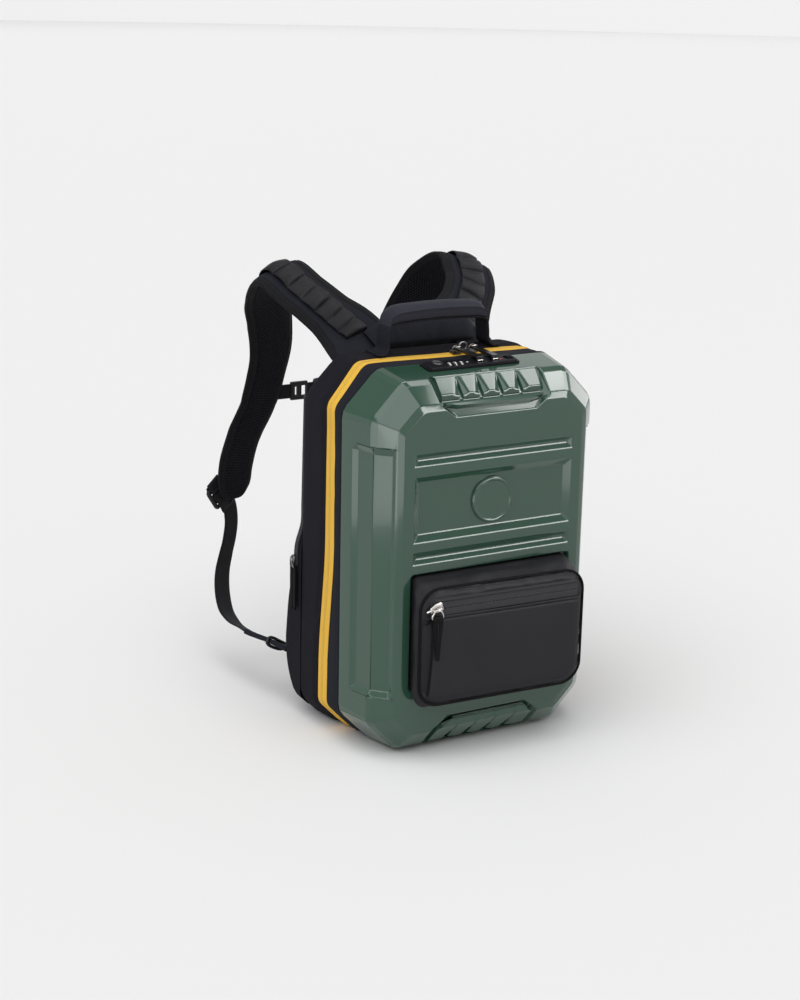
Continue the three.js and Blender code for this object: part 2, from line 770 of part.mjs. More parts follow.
function makePocket() {
  const { seat, mouth, swell, piping, shoulder, front } = pocketRows;
  const open = { ...seat, out: seat.out - 2 / pocketBulge };
  const outside = [seat, mouth, swell, piping, shoulder, front].map((row) => pocketLoop(row, 0));
  const inside = [
    ...[open, mouth, swell].map((row) => pocketLoop(row, pocketCloth)),
    ...[piping, shoulder, front].map((row) => pocketLoop(row, pocketCloth, pocketCloth)),
  ];
  addMesh("pocket_body", toGeometry(cut(toSolid(skin(outside)), toSolid(skin(inside)))), "coated");

  // Piping round the edge of the front panel
  const sides = 6;
  const loops = Array.from({ length: sides }, (_, k) => {
    const angle = (k / sides) * 2 * Math.PI;
    const out = pipingRadius + gap + pipingRadius * Math.cos(angle);
    return pocketLoop(piping, -out, pipingRadius * Math.sin(angle));
  });
  addMesh("pocket_piping", skin(loops, true), "coated");

  // The zip's band, and its slider, D ring and pull at the left end
  const face = new THREE.Group();
  face.position.set(0, frontY - pocketBulge, pocketZipZ);
  face.rotation.z = -Math.atan2(pocketSkew, pocketWidth / 2);
  bag.add(face);
  const bandHalf = pocketWidth / 2 - pocketZipInset;
  const tape = 1.2;
  const band = roundedRect(-bandHalf, bandHalf, -pocketZipHeight / 2, pocketZipHeight / 2, 2);
  const bandLoops = [-gap, -gap - tape].map((y) => band.map((p) => new THREE.Vector3(p.x, y, p.y)));
  addMesh("pocket_zip", skin(bandLoops), "cloth", face);

  const faceY = -gap - tape - gap;
  const sliderBody = join(
    toSolid(box(sliderLength, sliderHeight, sliderWidth, [0, -sliderHeight / 2, 0])),
    toSolid(box(sliderLength * 0.5, 3, 3, [0, -sliderHeight - 1, 0])),
  );
  const slider = addMesh("pocket_slider", toGeometry(sliderBody), "metal", face);
  slider.position.set(pocketSliderX, faceY, 0);
  const ringY = faceY - sliderHeight - 2.5 - ringWire - gap;
  const ring = addMesh("pocket_ring", wireRing(ringRadius, ringWire), "metal", face);
  ring.rotation.x = Math.PI / 2;
  ring.position.set(pocketSliderX, ringY, -ringRadius);
  const pullTop = -2 * ringRadius - ringWire - gap;
  const taper = [
    { down: 0, half: 7 },
    { down: 0.1, half: 7.2 },
    { down: 0.55, half: 4.6 },
    { down: 1, half: 2.2 },
  ];
  const pullLoops = taper.map((row) => {
    const z = pullTop - row.down * pocketPullLength;
    const y = ringY * (1 - row.down * 0.5);
    return [
      [-row.half, -1],
      [row.half, -1],
      [row.half, 1],
      [-row.half, 1],
    ].map(([x, dy]) => new THREE.Vector3(pocketSliderX + x + row.down * 3, y + dy, z));
  });
  addMesh("pocket_pull", skin(pullLoops), "coated", face);
}

// A flat band along stations, each with a centre, a direction across and a direction out of its face. A
// padded band has rounded edges, and a plain one has square edges.
function ribbon(stations, width, thickness, { shift = () => 0, grow = 0, padded = false } = {}) {
  const loops = stations.map((s, i) => {
    const centre = s.centre.clone().addScaledVector(s.out, shift(i / (stations.length - 1)));
    const half = (s.width ?? width) / 2 + grow;
    const thick = thickness + 2 * grow;
    const flat = Math.min(half * 0.86, half - thick * 0.35);
    const square = [
      [half, 0.5],
      [-half, 0.5],
      [-half, -0.5],
      [half, -0.5],
    ];
    const round = [
      [half, -0.22],
      [half, 0.22],
      [flat, 0.5],
      [-flat, 0.5],
      [-half, 0.22],
      [-half, -0.22],
      [-flat, -0.5],
      [flat, -0.5],
    ];
    return (padded ? round : square).map(([a, b]) =>
      centre.clone().addScaledVector(s.across, a).addScaledVector(s.out, b * thick),
    );
  });
  return skin(loops);
}

// Stations along a curve through a table of points, with the band's direction across at each row
function stationsOf(points, acrossAt, count, from = 0, to = 1) {
  const curve = new THREE.CatmullRomCurve3(points, false, "centripetal");
  return Array.from({ length: count }, (_, i) => {
    const t = THREE.MathUtils.lerp(from, to, i / (count - 1));
    const tangent = curve.getTangent(t);
    const across = acrossAt(t);
    across.addScaledVector(tangent, -across.dot(tangent)).normalize();
    return { centre: curve.getPoint(t), across, out: across.clone().cross(tangent), t };
  });
}

// A strap's middle line. across is a share of half the bag's width, back of strapReach behind the flat of
// the back, up of strapRise over the body's top, or of strapDrop where it is below it. turn and lean swing
// the band's width, in degrees: outer edge forwards, and outer edge down. wide is a share of strapWidth.
// The right strap hangs a little farther out: sway, settle and tip move its rows in the units of across, up
// and lean.
const strapRows = [
  { across: 0.41, back: -0.07, up: -0.04, turn: 0, lean: 4, wide: 1.2, sway: 0.03, settle: 0, tip: 0 },
  { across: 0.455, back: 0.06, up: 0.13, turn: -2, lean: 8, wide: 1.12, sway: 0.07, settle: 0.02, tip: 0 },
  { across: 0.56, back: 0.17, up: 0.4, turn: 0, lean: 12, wide: 1, sway: 0.1, settle: 0.04, tip: 0 },
  { across: 0.7, back: 0.295, up: 0.7, turn: 6, lean: 14, wide: 1, sway: 0.1, settle: 0.03, tip: 0 },
  { across: 0.815, back: 0.43, up: 0.96, turn: 15, lean: 16, wide: 1, sway: 0.02, settle: 0.05, tip: 3 },
  { across: 0.765, back: 0.645, up: 0.55, turn: 17, lean: 12, wide: 1, sway: 0.01, settle: -0.07, tip: 9 },
  { across: 0.67, back: 0.76, up: 0.12, turn: 18, lean: 5, wide: 1, sway: 0.025, settle: -0.05, tip: 5 },
  { across: 0.588, back: 0.865, up: -0.17, turn: 19, lean: 0, wide: 0.98, sway: 0.02, settle: 0, tip: 0 },
  { across: 0.59, back: 0.93, up: -0.32, turn: 20, lean: -5, wide: 0.94, sway: 0, settle: 0, tip: 0 },
  { across: 0.638, back: 0.965, up: -0.48, turn: 20, lean: -9, wide: 0.88, sway: 0, settle: 0, tip: 0 },
  { across: 0.745, back: 0.985, up: -0.64, turn: 20, lean: -9, wide: 0.86, sway: 0, settle: 0, tip: 0 },
  { across: 0.82, back: 0.99, up: -0.8, turn: 20, lean: -7, wide: 0.84, sway: 0, settle: 0, tip: 0 },
  { across: 0.845, back: 0.985, up: -0.93, turn: 20, lean: -4, wide: 0.8, sway: 0, settle: 0, tip: 0 },
  { across: 0.84, back: 0.98, up: -1, turn: 20, lean: -2, wide: 0.78, sway: 0, settle: 0, tip: 0 },
];

function strapPoint(row, hand) {
  const [across, up] = hand > 0 ? [row.across + row.sway, row.up - row.settle] : [row.across, row.up];
  return new THREE.Vector3(
    (across * bagWidth) / 2,
    backY + row.back * strapReach,
    bodyTop + up * (up < 0 ? strapDrop : strapRise),
  );
}

// Stations of a strap of one hand, all worked out for the side where x is positive
function strapStations(hand, count, from = 0, to = 1) {
  const looks = new THREE.CatmullRomCurve3(
    strapRows.map((row) => new THREE.Vector3(row.turn, row.lean + (hand > 0 ? row.tip : 0), row.wide)),
  );
  const stations = stationsOf(
    strapRows.map((row) => strapPoint(row, hand)),
    (t) => {
      const at = looks.getPoint(t);
      const [turn, lean] = [at.x, at.y].map(THREE.MathUtils.degToRad);
      return new THREE.Vector3(
        Math.cos(lean) * Math.cos(turn),
        -Math.cos(lean) * Math.sin(turn),
        -Math.sin(lean),
      );
    },
    count,
    from,
    to,
  );
  return stations.map((s) => ({ ...s, width: strapWidth * looks.getPoint(s.t).z }));
}

// The mirror image of a geometry in x = 0, with its faces out
function mirrored(geometry) {
  const twin = geometry.clone().scale(-1, 1, 1);
  const index = Array.from(twin.index.array);
  for (let i = 0; i < index.length; i += 3) {
    [index[i + 1], index[i + 2]] = [index[i + 2], index[i + 1]];
  }
  twin.setIndex(index);
  return twin;
}

const sideNames = { "-1": "_left", 1: "_right" };
function addSide(name, hand, geometry, look) {
  addMesh(name + sideNames[hand], hand > 0 ? geometry : mirrored(geometry), look);
}

function addPair(name, geometry, look) {
  [-1, 1].forEach((hand) => addSide(name, hand, geometry, look));
}

// The pad's rounded end, over the last stations
function roundEnd(stations) {
  const last = stations.at(-1);
  const radius = last.width / 2;
  return stations.map((s) => {
    const left = Math.min(s.centre.distanceTo(last.centre) / radius, 1);
    return { ...s, width: s.width * (0.45 + 0.55 * Math.sqrt(1 - (1 - left) ** 2)) };
  });
}

const strapBand = (hand, grow = 0) =>
  toSolid(ribbon(roundEnd(strapStations(hand, 29)), 0, strapThickness, { grow, padded: true }));
const strapEnd = strapStations(1, 2).at(-1);

function makeStraps() {
  const body = bodyBlock(gap);
  for (const hand of [-1, 1]) {
    addSide("strap_pad", hand, toGeometry(cut(strapBand(hand), body)), "cloth");

    // The webbing on the outer face, sewn down between its folds
    const face = strapThickness / 2 + gap + daisyThickness / 2;
    const shift = (share) => face + daisyLift * Math.abs(Math.sin(Math.PI * share * daisyFolds));
    const strip = strapStations(hand, 26, 0.075, 0.335).map((s) => ({ ...s, width: daisyWidth }));
    const sewn = cut(toSolid(ribbon(strip, 0, daisyThickness, { shift })), strapBand(hand, gap));
    addSide("strap_webbing", hand, toGeometry(sewn), "webbing");
  }
}

// The buckle at the pad's outer low corner: a plate with two slots, held by a folded tab. Its top leans
// outwards.
const lockTilt = THREE.MathUtils.degToRad(32);
const lockSeat = strapEnd.centre
  .clone()
  .addScaledVector(strapEnd.across, 20)
  .addScaledVector(strapEnd.out, strapThickness / 2 + lockerThickness / 2 + 3)
  .add(new THREE.Vector3(0, 0, 11));
const lockAcross = strapEnd.across.clone().applyAxisAngle(strapEnd.out, lockTilt);
const lockUp = lockAcross.clone().cross(strapEnd.out);
const lockPlace = new THREE.Matrix4()
  .makeBasis(lockAcross, strapEnd.out, lockUp)
  .setPosition(lockSeat);

function lockPlate(grow) {
  const half = [lockerWidth / 2 + grow, lockerHeight / 2 + grow];
  const thick = lockerThickness + 2 * grow;
  const loops = [-0.5, -0.2, 0.2, 0.5].map((share) => {
    const trim = Math.abs(share) === 0.5 ? 1.2 : 0;
    const [w, h] = half.map((v) => v - trim);
    return roundedRect(-w, w, -h, h, 7).map((p) => new THREE.Vector3(p.x, share * thick, p.y));
  });
  return toSolid(skin(loops).applyMatrix4(lockPlace));
}

function makeLadderLocks() {
  const slot = (lockerHeight - 3 * lockerBar) / 2;
  const middle = slot / 2 + lockerBar / 2;
  const openings = [middle, -middle].map((z) =>
    toSolid(box(lowerWebWidth + 2, 20, slot, [0, 0, z]).applyMatrix4(lockPlace)),
  );
  addPair("ladder_lock", toGeometry(cut(lockPlate(0), ...openings)), "plastic");

  // The tab lies on the pad's outer face, under the lock's upper bar
  const { length, thickness } = lockTab;
  const under = -lockerThickness / 2 - gap - thickness / 2;
  const at = [0, under, lockerHeight / 2 - lockerBar + length / 2];
  const tab = box(lowerWebWidth, thickness, length, at);
  addPair("lock_tab", tab.applyMatrix4(lockPlace), "webbing");
}

// The webbing from the lock to the tab low on the body's side: a chosen hanging line. across is a share
// of half the bag's width, back of strapReach behind the flat of the back, up of lowerWebTop, and lean
// lifts the outer edge, in degrees.
const lowerWebRows = [
  { across: 0.864, back: 1.022, up: 0.964, lean: 0 },
  { across: 0.852, back: 1.017, up: 0.869, lean: 0 },
  { across: 0.876, back: 1.004, up: 0.766, lean: 0 },
  { across: 0.923, back: 0.983, up: 0.667, lean: 0 },
  { across: 0.976, back: 0.948, up: 0.572, lean: 0 },
  { across: 1.012, back: 0.901, up: 0.491, lean: 3 },
  { across: 1.036, back: 0.845, up: 0.423, lean: 8 },
  { across: 1.053, back: 0.776, up: 0.369, lean: 14 },
  { across: 1.059, back: 0.698, up: 0.342, lean: 20 },
  { across: 1.059, back: 0.621, up: 0.329, lean: 25 },
  { across: 1.047, back: 0.517, up: 0.329, lean: 28 },
  { across: 1.047, back: 0.44, up: 0.331, lean: 28 },
];

function makeLowerWebbing() {
  const lockFoot = lockSeat.clone().addScaledVector(lockUp, -lockerHeight / 2);
  const points = lowerWebRows.map(
    (row) =>
      new THREE.Vector3(
        (row.across * bagWidth) / 2,
        backY + row.back * strapReach,
        row.up * lowerWebTop,
      ),
  );
  points.unshift(lockFoot);
  const leans = [lowerWebRows[0], ...lowerWebRows].map((row) => THREE.MathUtils.degToRad(row.lean));
  const leanCurve = new THREE.CatmullRomCurve3(leans.map((lean) => new THREE.Vector3(lean, 0, 0)));
  const acrossAt = (t) => {
    const level = lockAcross.clone().lerp(strapEnd.across, Math.min(t * 8, 1));
    const sideways = level.lerp(new THREE.Vector3(1, 0, 0), Math.max(t * 1.6 - 0.6, 0)).normalize();
    const lean = leanCurve.getPoint(t).x;
    return sideways.multiplyScalar(Math.cos(lean)).add(new THREE.Vector3(0, 0, Math.sin(lean)));
  };
  const stations = stationsOf(points, acrossAt, 25);
  const strip = (grow) => toSolid(ribbon(stations, lowerWebWidth, webbing, { grow }));
  addPair("lower_webbing", toGeometry(cut(strip(0), lockPlate(gap))), "webbing");

  // The tab is sewn at the pad's rear corner and takes the webbing's end
  const end = stations.at(-1);
  const heading = end.centre.clone().sub(stations.at(-2).centre).normalize();
  const from = end.centre.clone().addScaledVector(heading, 2.4);
  const seat = new THREE.Vector3(bagWidth / 2 - 12, backY + lumbarBulge - 22, from.z);
  const middle = from.clone().lerp(seat, 0.5).add(new THREE.Vector3(0, 0, 1.5));
  const tabStations = stationsOf([from, middle, seat], () => end.across.clone(), 6);
  const tab = cut(toSolid(ribbon(tabStations, tabWidth, tabThickness)), strip(gap));
  addPair("lower_tab", toGeometry(cut(tab, lumbarBlock(gap), bodyBlock(gap))), "webbing");
}

// The chest strap between the two pads, with an adjuster on each side and one plain clasp
function makeSternumStrap() {
  const z = bodyTop - sternumDrop;
  const all = strapStations(1, 120, 0.5, 1);
  const near = all.reduce((best, s) =>
    Math.abs(s.centre.z - z) < Math.abs(best.centre.z - z) ? s : best,
  );
  const edge = near.centre.clone().addScaledVector(near.across, -near.width / 2);
  const claspEnd = claspLength / 2 + gap;
  const { length, width, thickness } = sternumAdjuster;
  const outerEnd = edge.x - (edge.x - claspEnd - length) * sternumShare;
  const innerEnd = outerEnd - length;
  const strip = (x0, x1) => toSolid(box(x0 - x1, webbing, sternumWidth, [(x0 + x1) / 2, edge.y, z]));
  const outer = cut(strip(edge.x + 4, outerEnd + gap), strapBand(1, gap));
  addPair("sternum_web_outer", toGeometry(outer), "webbing");
  addPair("sternum_web_inner", toGeometry(strip(innerEnd - gap, claspEnd)), "webbing");

  // Each adjuster has a slot for the outer webbing and an open loop at its inner end
  const slot = { x: outerEnd - 8, long: 3.6, high: sternumWidth * 0.6 };
  const loop = { x: innerEnd + 6, long: 7, high: sternumWidth * 0.7 };
  const openings = [slot, loop].map((o) => toSolid(box(o.long, 12, o.high, [o.x, edge.y, z])));
  const plate = toSolid(box(length, thickness, width, [(outerEnd + innerEnd) / 2, edge.y, z]));
  addPair("sternum_adjuster", toGeometry(cut(plate, ...openings)), "plastic");

  const clasp = skin(
    [-0.5, -0.25, 0.25, 0.5].map((share) => {
      const trim = Math.abs(share) === 0.5 ? 2 : 0;
      return roundedRect(
        trim - claspLength / 2,
        claspLength / 2 - trim,
        z - claspWidth / 2 + trim,
        z + claspWidth / 2 - trim,
        5,
      ).map((p) => new THREE.Vector3(p.x, edge.y + share * claspThickness, p.y));
    }),
  );
  addMesh("sternum_clasp", clasp, "plastic");
}

// The carrying handle: webbing from foot to foot under a padded grip. The line's rows start at a foot:
// inward from the foot's middle, and up as a share of the rise under the grip.
const handleRows = [
  { inward: -14, up: 0 },
  { inward: -4, up: 0 },
  { inward: 0.5, up: 0.14 },
  { inward: 3, up: 0.5 },
  { inward: 8, up: 0.8 },
  { inward: 20, up: 0.91 },
  { inward: 46, up: 0.97 },
  { inward: 74, up: 1 },
];
// The grip's rows along its length, as shares of its length, width and thickness
const gripRows = [
  { at: 0.5, wide: 0.7, thick: 0.42 },
  { at: 0.46, wide: 0.95, thick: 0.7 },
  { at: 0.36, wide: 1, thick: 0.9 },
  { at: 0.18, wide: 1, thick: 1 },
];
const gripSection = [
  { across: -1, up: 0.15 },
  { across: -1, up: 0.6 },
  { across: -0.7, up: 0.92 },
  { across: 0, up: 1.04 },
  { across: 0.7, up: 0.92 },
  { across: 1, up: 0.6 },
  { across: 1, up: 0.15 },
  { across: 0.8, up: 0 },
  { across: -0.8, up: 0 },
];

function makeHandle() {
  const y = rimY + handleBack;
  const foot = bodyTop + gap + webbing / 2;
  const rise = handleRise - gripThickness - 2 * gap - 1.5 * webbing;
  const points = handleRows.map(
    (row) => new THREE.Vector3(handleSpan / 2 - row.inward, y, foot + row.up * rise),
  );
  const line = [...points, ...points.slice(0, -1).reverse().map((p) => p.clone().setX(-p.x))];
  const stations = stationsOf(line, () => new THREE.Vector3(0, 1, 0), 33);
  const strip = toSolid(ribbon(stations, handleWidth, webbing));
  addMesh("handle_webbing", toGeometry(cut(strip, bodyBlock(gap))), "webbing");

  // The grip lies on the webbing
  const heights = stations
    .filter((s) => s.centre.z > foot + 0.3 * rise)
    .map((s) => ({ x: -s.centre.x, z: s.centre.z }));
  const mirroredRows = gripRows.map((row) => ({ ...row, at: -row.at })).reverse();
  const loops = [...gripRows, ...mirroredRows].map((row) => {
    const x = row.at * gripLength;
    const seat = lookUp(heights, "x", -x, "z") + webbing / 2 + gap;
    return gripSection.map(
      (p) =>
        new THREE.Vector3(
          x,
          y + (p.across * row.wide * handleWidth) / 2,
          seat + p.up * row.thick * gripThickness,
        ),
    );
  });
  const under = toSolid(ribbon(stations, handleWidth + 4, webbing + 2 * gap));
  addMesh("handle_grip", toGeometry(cut(toSolid(skin(loops)), under)), "cloth");
}

// The combination lock, in its own tilted frame
const wellFloor = lockHeight * 0.4; // of the wells in its top, over the shell
function makeLock() {
  const frame = lockFrame;
  bag.add(frame);
  const [halfW, halfD] = [lockWidth / 2, lockDepth / 2];
  const plateLoops = [
    [gap, 0],
    [lockHeight * 0.5, 0],
    [lockHeight * 0.58, 2],
    [lockHeight * 0.9, 2.4],
    [lockHeight, 3.2],
  ].map(([z, trim]) =>
    roundedRect(trim - halfW, halfW - trim, trim - halfD, halfD - trim, 6).map(
      (p) => new THREE.Vector3(p.x, p.y, z),
    ),
  );
  const casing = box(dialsSpan + 2 * caseWall, caseDepth, caseHeight, [
    dialsX,
    dialsY,
    1 - caseHeight / 2,
  ]);
  const slots = Array.from({ length: dialCount }, (_, i) =>
    toSolid(
      box(dialWidth + 0.8, 2 * (dialRadius + dialPlay), 30, [
        dialX(i),
        dialsY,
        15 - dialSink - dialRadius - dialPlay,
      ]),
    ),
  );
  const axle = toSolid(bar(axleRadius, dialsSpan + caseWall, "x", [dialsX, dialsY, -dialSink], 10));
  const wellZ = 5 + wellFloor;
  const docks = dockXs.map((x) => toSolid(box(pullWidth + 1, 8, 10, [x, dockY, wellZ])));
  const plugHole = toSolid(bar(plugRadius + gap, 10, "z", [plugX, plugY, wellZ], 16));
  const buttonSlot = toSolid(
    box(buttonLength + buttonTravel + 2 * gap, 9, 10, [buttonX - buttonTravel / 2, 0, wellZ]),
  );
  const dotSeat = [indicatorX, dockY, wellZ];
  const dotHole = toSolid(bar(indicatorRadius + gap, 10, "z", dotSeat, 8));
  const solid = join(toSolid(skin(plateLoops)), toSolid(casing));
  const housing = join(cut(solid, ...slots, ...docks, plugHole, buttonSlot, dotHole), axle);
  addMesh("lock_housing", toGeometry(housing), "plastic", frame);
  const bore = toSolid(bar(axleRadius + 0.35, 20, "x"));
  for (let i = 0; i < dialCount; i++) {
    const dial = cut(toSolid(bar(dialRadius, dialWidth, "x")), bore);
    const mesh = addMesh(`dial_${i + 1}`, toGeometry(dial), "plastic", frame);
    mesh.position.set(dialX(i), dialsY, -dialSink);
  }
  const plugHeight = lockHeight + 0.4 - wellFloor - gap;
  const keyway = toSolid(box(1.4, 5.6, 3, [0, 0, plugHeight]));
  const plugBar = toSolid(bar(plugRadius, plugHeight, "z", [0, 0, plugHeight / 2], 16));
  const plug = addMesh("key_plug", toGeometry(cut(plugBar, keyway)), "gunmetal", frame);
  plug.position.set(plugX, plugY, wellFloor + gap);
  const buttonHeight = lockHeight + 1.2 - wellFloor - gap;
  const grooves = [-2.4, 0, 2.4].map((x) => toSolid(box(1, 12, 1.6, [x, 0, buttonHeight])));
  const block = toSolid(box(buttonLength, 8.2, buttonHeight, [0, 0, buttonHeight / 2]));
  const button = addMesh("release_button", toGeometry(cut(block, ...grooves)), "plastic", frame);
  button.position.set(buttonX, 0, wellFloor + gap);
  const dotHeight = lockHeight - wellFloor;
  const dot = addMesh("indicator_dot", bar(indicatorRadius, dotHeight, "z", [0, 0, 0], 8), "red", frame);
  dot.position.set(indicatorX, dockY, wellFloor + gap + dotHeight / 2);
}

// The main zip's two sliders on the bag's top, and their pulls with the tips seated in the lock
function makeMainPulls() {
  const sliderY = zipY(1);
  const tapeTop = bagHeight - beadProud + 0.4;
  sliderXs.forEach((x, i) => {
    const side = i === 0 ? "left" : "right";
    const body = join(
      toSolid(box(sliderLength, sliderWidth, sliderHeight, [0, 0, sliderHeight / 2])),
      toSolid(box(9.2, 2.4, 1.4, [0, 0, sliderHeight + 0.4])),
    );
    const slider = addMesh(`main_slider_${side}`, toGeometry(body), "gunmetal");
    slider.position.set(x, sliderY, tapeTop + gap);

    // The pull runs level from over the slider to over its well, and the tip hooks down into the well
    const from = new THREE.Vector3(x, sliderY, tapeTop + sliderHeight + 1.1 + 2 * gap);
    const well = new THREE.Vector3(dockXs[i], dockY, wellFloor + gap);
    const over = lockFrame.localToWorld(well.clone());
    const level = Math.hypot(over.x - x, over.y - sliderY);
    const pull = new THREE.Group();
    pull.position.copy(from);
    pull.rotation.z = Math.atan2(over.x - x, sliderY - over.y);
    bag.add(pull);
    const plateStart = 2;
    const plateLength = level + 1 - plateStart;
    const plateMiddle = [0, -plateStart - plateLength / 2, pullThickness / 2];
    const plate = toSolid(box(pullWidth, plateLength, pullThickness, plateMiddle));
    const window = toSolid(box(pullWidth * 0.4, plateLength * 0.2, 20, [0, -plateStart - 5, 0]));
    addMesh(`main_pull_${side}`, toGeometry(cut(plate, window)), "plastic", pull);

    const head = lockFrame.worldToLocal(new THREE.Vector3(over.x, over.y, from.z));
    const tipHeight = head.z - well.z - 2 * gap;
    const tipMiddle = [well.x, well.y, well.z + tipHeight / 2];
    const tip = cut(
      toSolid(box(pullWidth - 1, 4, tipHeight, tipMiddle)),
      toSolid(box(pullWidth - 4, 8, tipHeight, [well.x, well.y, well.z + tipHeight / 2 - 1.6])),
    );
    addMesh(`main_pull_tip_${side}`, toGeometry(tip), "metal", lockFrame);
  });
}

// The zip on the left side's rear edge runs down over the lower pad. Its slider and two pulls hang at the
// low end. Rows: out is beyond the body's side, and back is behind the zip's line, which leans as the back
// does.
const sideZipRows = [
  { z: sideZipTop, out: -5, back: 0 },
  { z: THREE.MathUtils.lerp(sideZipTop, lumbarTop, 0.41), out: -5, back: 0 },
  { z: THREE.MathUtils.lerp(sideZipTop, lumbarTop, 0.81), out: -5, back: 0 },
  { z: lumbarTop + 6, out: -5.2, back: 1 },
  { z: lumbarTop - 22, out: 0.6, back: 3.6 },
  { z: sideZipBottom, out: 1.1, back: 5.2 },
];

function makeSideZip() {
  const lineY = rimY + sideZipBack;
  const points = sideZipRows.map(
    (row) => new THREE.Vector3(-bagWidth / 2 - row.out, lineY + row.back - leanAt(row.z), row.z),
  );
  const tilt = new THREE.Vector3(0.35, 1, 0);
  const upright = new THREE.Vector3(0, 1, 0);
  const stations = stationsOf(points, (t) => tilt.clone().lerp(upright, t).normalize(), 15);
  const tape = toSolid(ribbon(stations, sideZipWidth, sideZipThickness));
  const seated = cut(tape, lumbarBlock(gap), bodyBlock(gap));
  addMesh("side_zip", toGeometry(seated), "cloth");

  const low = sideZipRows.at(-1);
  const y = lineY + low.back - leanAt(sideSliderZ);
  const face = -bagWidth / 2 - low.out - sideZipThickness / 2 - 3 * gap;
  const body = join(
    toSolid(box(4, 8, 12, [face - 2, y, sideSliderZ])),
    toSolid(box(2.4, 2.6, 6, [face - 4.6, y, sideSliderZ])),
  );
  addMesh("side_slider", toGeometry(body), "metal");
  const taper = [
    { down: 0, half: 0.36 },
    { down: 0.08, half: 0.5 },
    { down: 0.9, half: 0.5 },
    { down: 1, half: 0.3 },
  ];
  ["front", "rear"].forEach((name, i) => {
    const middle = y + (i - 0.5) * (sidePullWidth + 1);
    const pull = skin(
      taper.map((row) => {
        const z = sideSliderZ - 6.5 - row.down * sidePullLength;
        const w = row.half * sidePullWidth;
        return [
          [-1.3, -w],
          [1.3, -w],
          [1.3, w],
          [-1.3, w],
        ].map(([dx, dy]) => new THREE.Vector3(face - 1.3 + dx, middle + dy, z));
      }),
    );
    addMesh(`side_pull_${name}`, pull, "plastic");
  });
}

makeShell();
makeRimTrim();
makeMainZip();
makeBody();
makeBackPads();
makePocket();
makeStraps();
makeLadderLocks();
makeLowerWebbing();
makeSternumStrap();
makeHandle();
makeLock();
makeMainPulls();
makeSideZip();

export default bag;
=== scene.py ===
import math

import bmesh
import bpy
from mathutils import Matrix, Vector, noise


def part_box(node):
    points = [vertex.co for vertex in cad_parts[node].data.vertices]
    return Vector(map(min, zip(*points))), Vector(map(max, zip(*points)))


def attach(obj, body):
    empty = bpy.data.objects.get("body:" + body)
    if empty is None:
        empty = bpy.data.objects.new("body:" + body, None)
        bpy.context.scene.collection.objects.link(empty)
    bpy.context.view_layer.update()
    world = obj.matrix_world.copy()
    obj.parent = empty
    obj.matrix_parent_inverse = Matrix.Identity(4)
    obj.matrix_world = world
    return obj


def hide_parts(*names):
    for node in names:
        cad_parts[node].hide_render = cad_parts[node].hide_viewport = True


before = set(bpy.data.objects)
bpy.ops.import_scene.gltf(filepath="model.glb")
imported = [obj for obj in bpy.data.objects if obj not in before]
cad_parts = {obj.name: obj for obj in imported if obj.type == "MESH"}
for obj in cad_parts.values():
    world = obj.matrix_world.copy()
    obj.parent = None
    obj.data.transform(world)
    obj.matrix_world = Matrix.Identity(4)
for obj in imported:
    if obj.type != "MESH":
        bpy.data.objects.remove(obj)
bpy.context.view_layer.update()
bpy.ops.object.select_all(action="DESELECT")
print("frame loaded")

mm = 0.001

# The bag's own sizes in millimetres, as in the model
bag = {
    "width": 338, "height": 484, "shellDepth": 82.5, "bodyDepth": 138, "backRound": 38, "backLean": 13,
    "cornerFill": 262, "rimSetback": 85, "cornerRound": 9, "rimCutX": 46, "rimCutZ": 48,
    "zipWidth": 24, "zipSetback": 32, "zipPlan": 1.4,
}
rimY = -bag["rimSetback"]
frontY = rimY - bag["shellDepth"]
backY = rimY + bag["bodyDepth"]
bodyTop = bag["height"]
zipAhead = bag["zipSetback"] * bag["zipPlan"] - bag["zipWidth"] / 2
zipBehind = bag["zipSetback"] * bag["zipPlan"] + bag["zipWidth"] / 2


def linked(name, data):
    thing = bpy.data.objects.new(name, data)
    bpy.context.scene.collection.objects.link(thing)
    return thing


# Camera, at the place from which the photograph was taken. Angles are in degrees.
cameraPlace = {
    "azimuth": -29.86, "elevation": 16.139, "roll": 1.2296,
    "at": (-1.2136, -2.0502, 0.9691), "lens": 68.4, "sensor": 36, "sees": 200,
}


def addCamera():
    a, e, r = (math.radians(cameraPlace[k]) for k in ("azimuth", "elevation", "roll"))
    back = Vector((math.sin(a) * math.cos(e), -math.cos(a) * math.cos(e), math.sin(e)))
    level = Vector((math.cos(a), math.sin(a), 0))
    rise = back.cross(level)
    across = level * math.cos(r) + rise * math.sin(r)
    up = rise * math.cos(r) - level * math.sin(r)
    data = bpy.data.cameras.new("photoCamera")
    data.lens = cameraPlace["lens"]
    data.sensor_width = cameraPlace["sensor"]
    data.clip_end = cameraPlace["sees"]
    camera = linked("photoCamera", data)
    axes = Matrix((across, up, back)).transposed().to_4x4()
    camera.matrix_world = Matrix.Translation(Vector(cameraPlace["at"])) @ axes
    bpy.context.scene.camera = camera


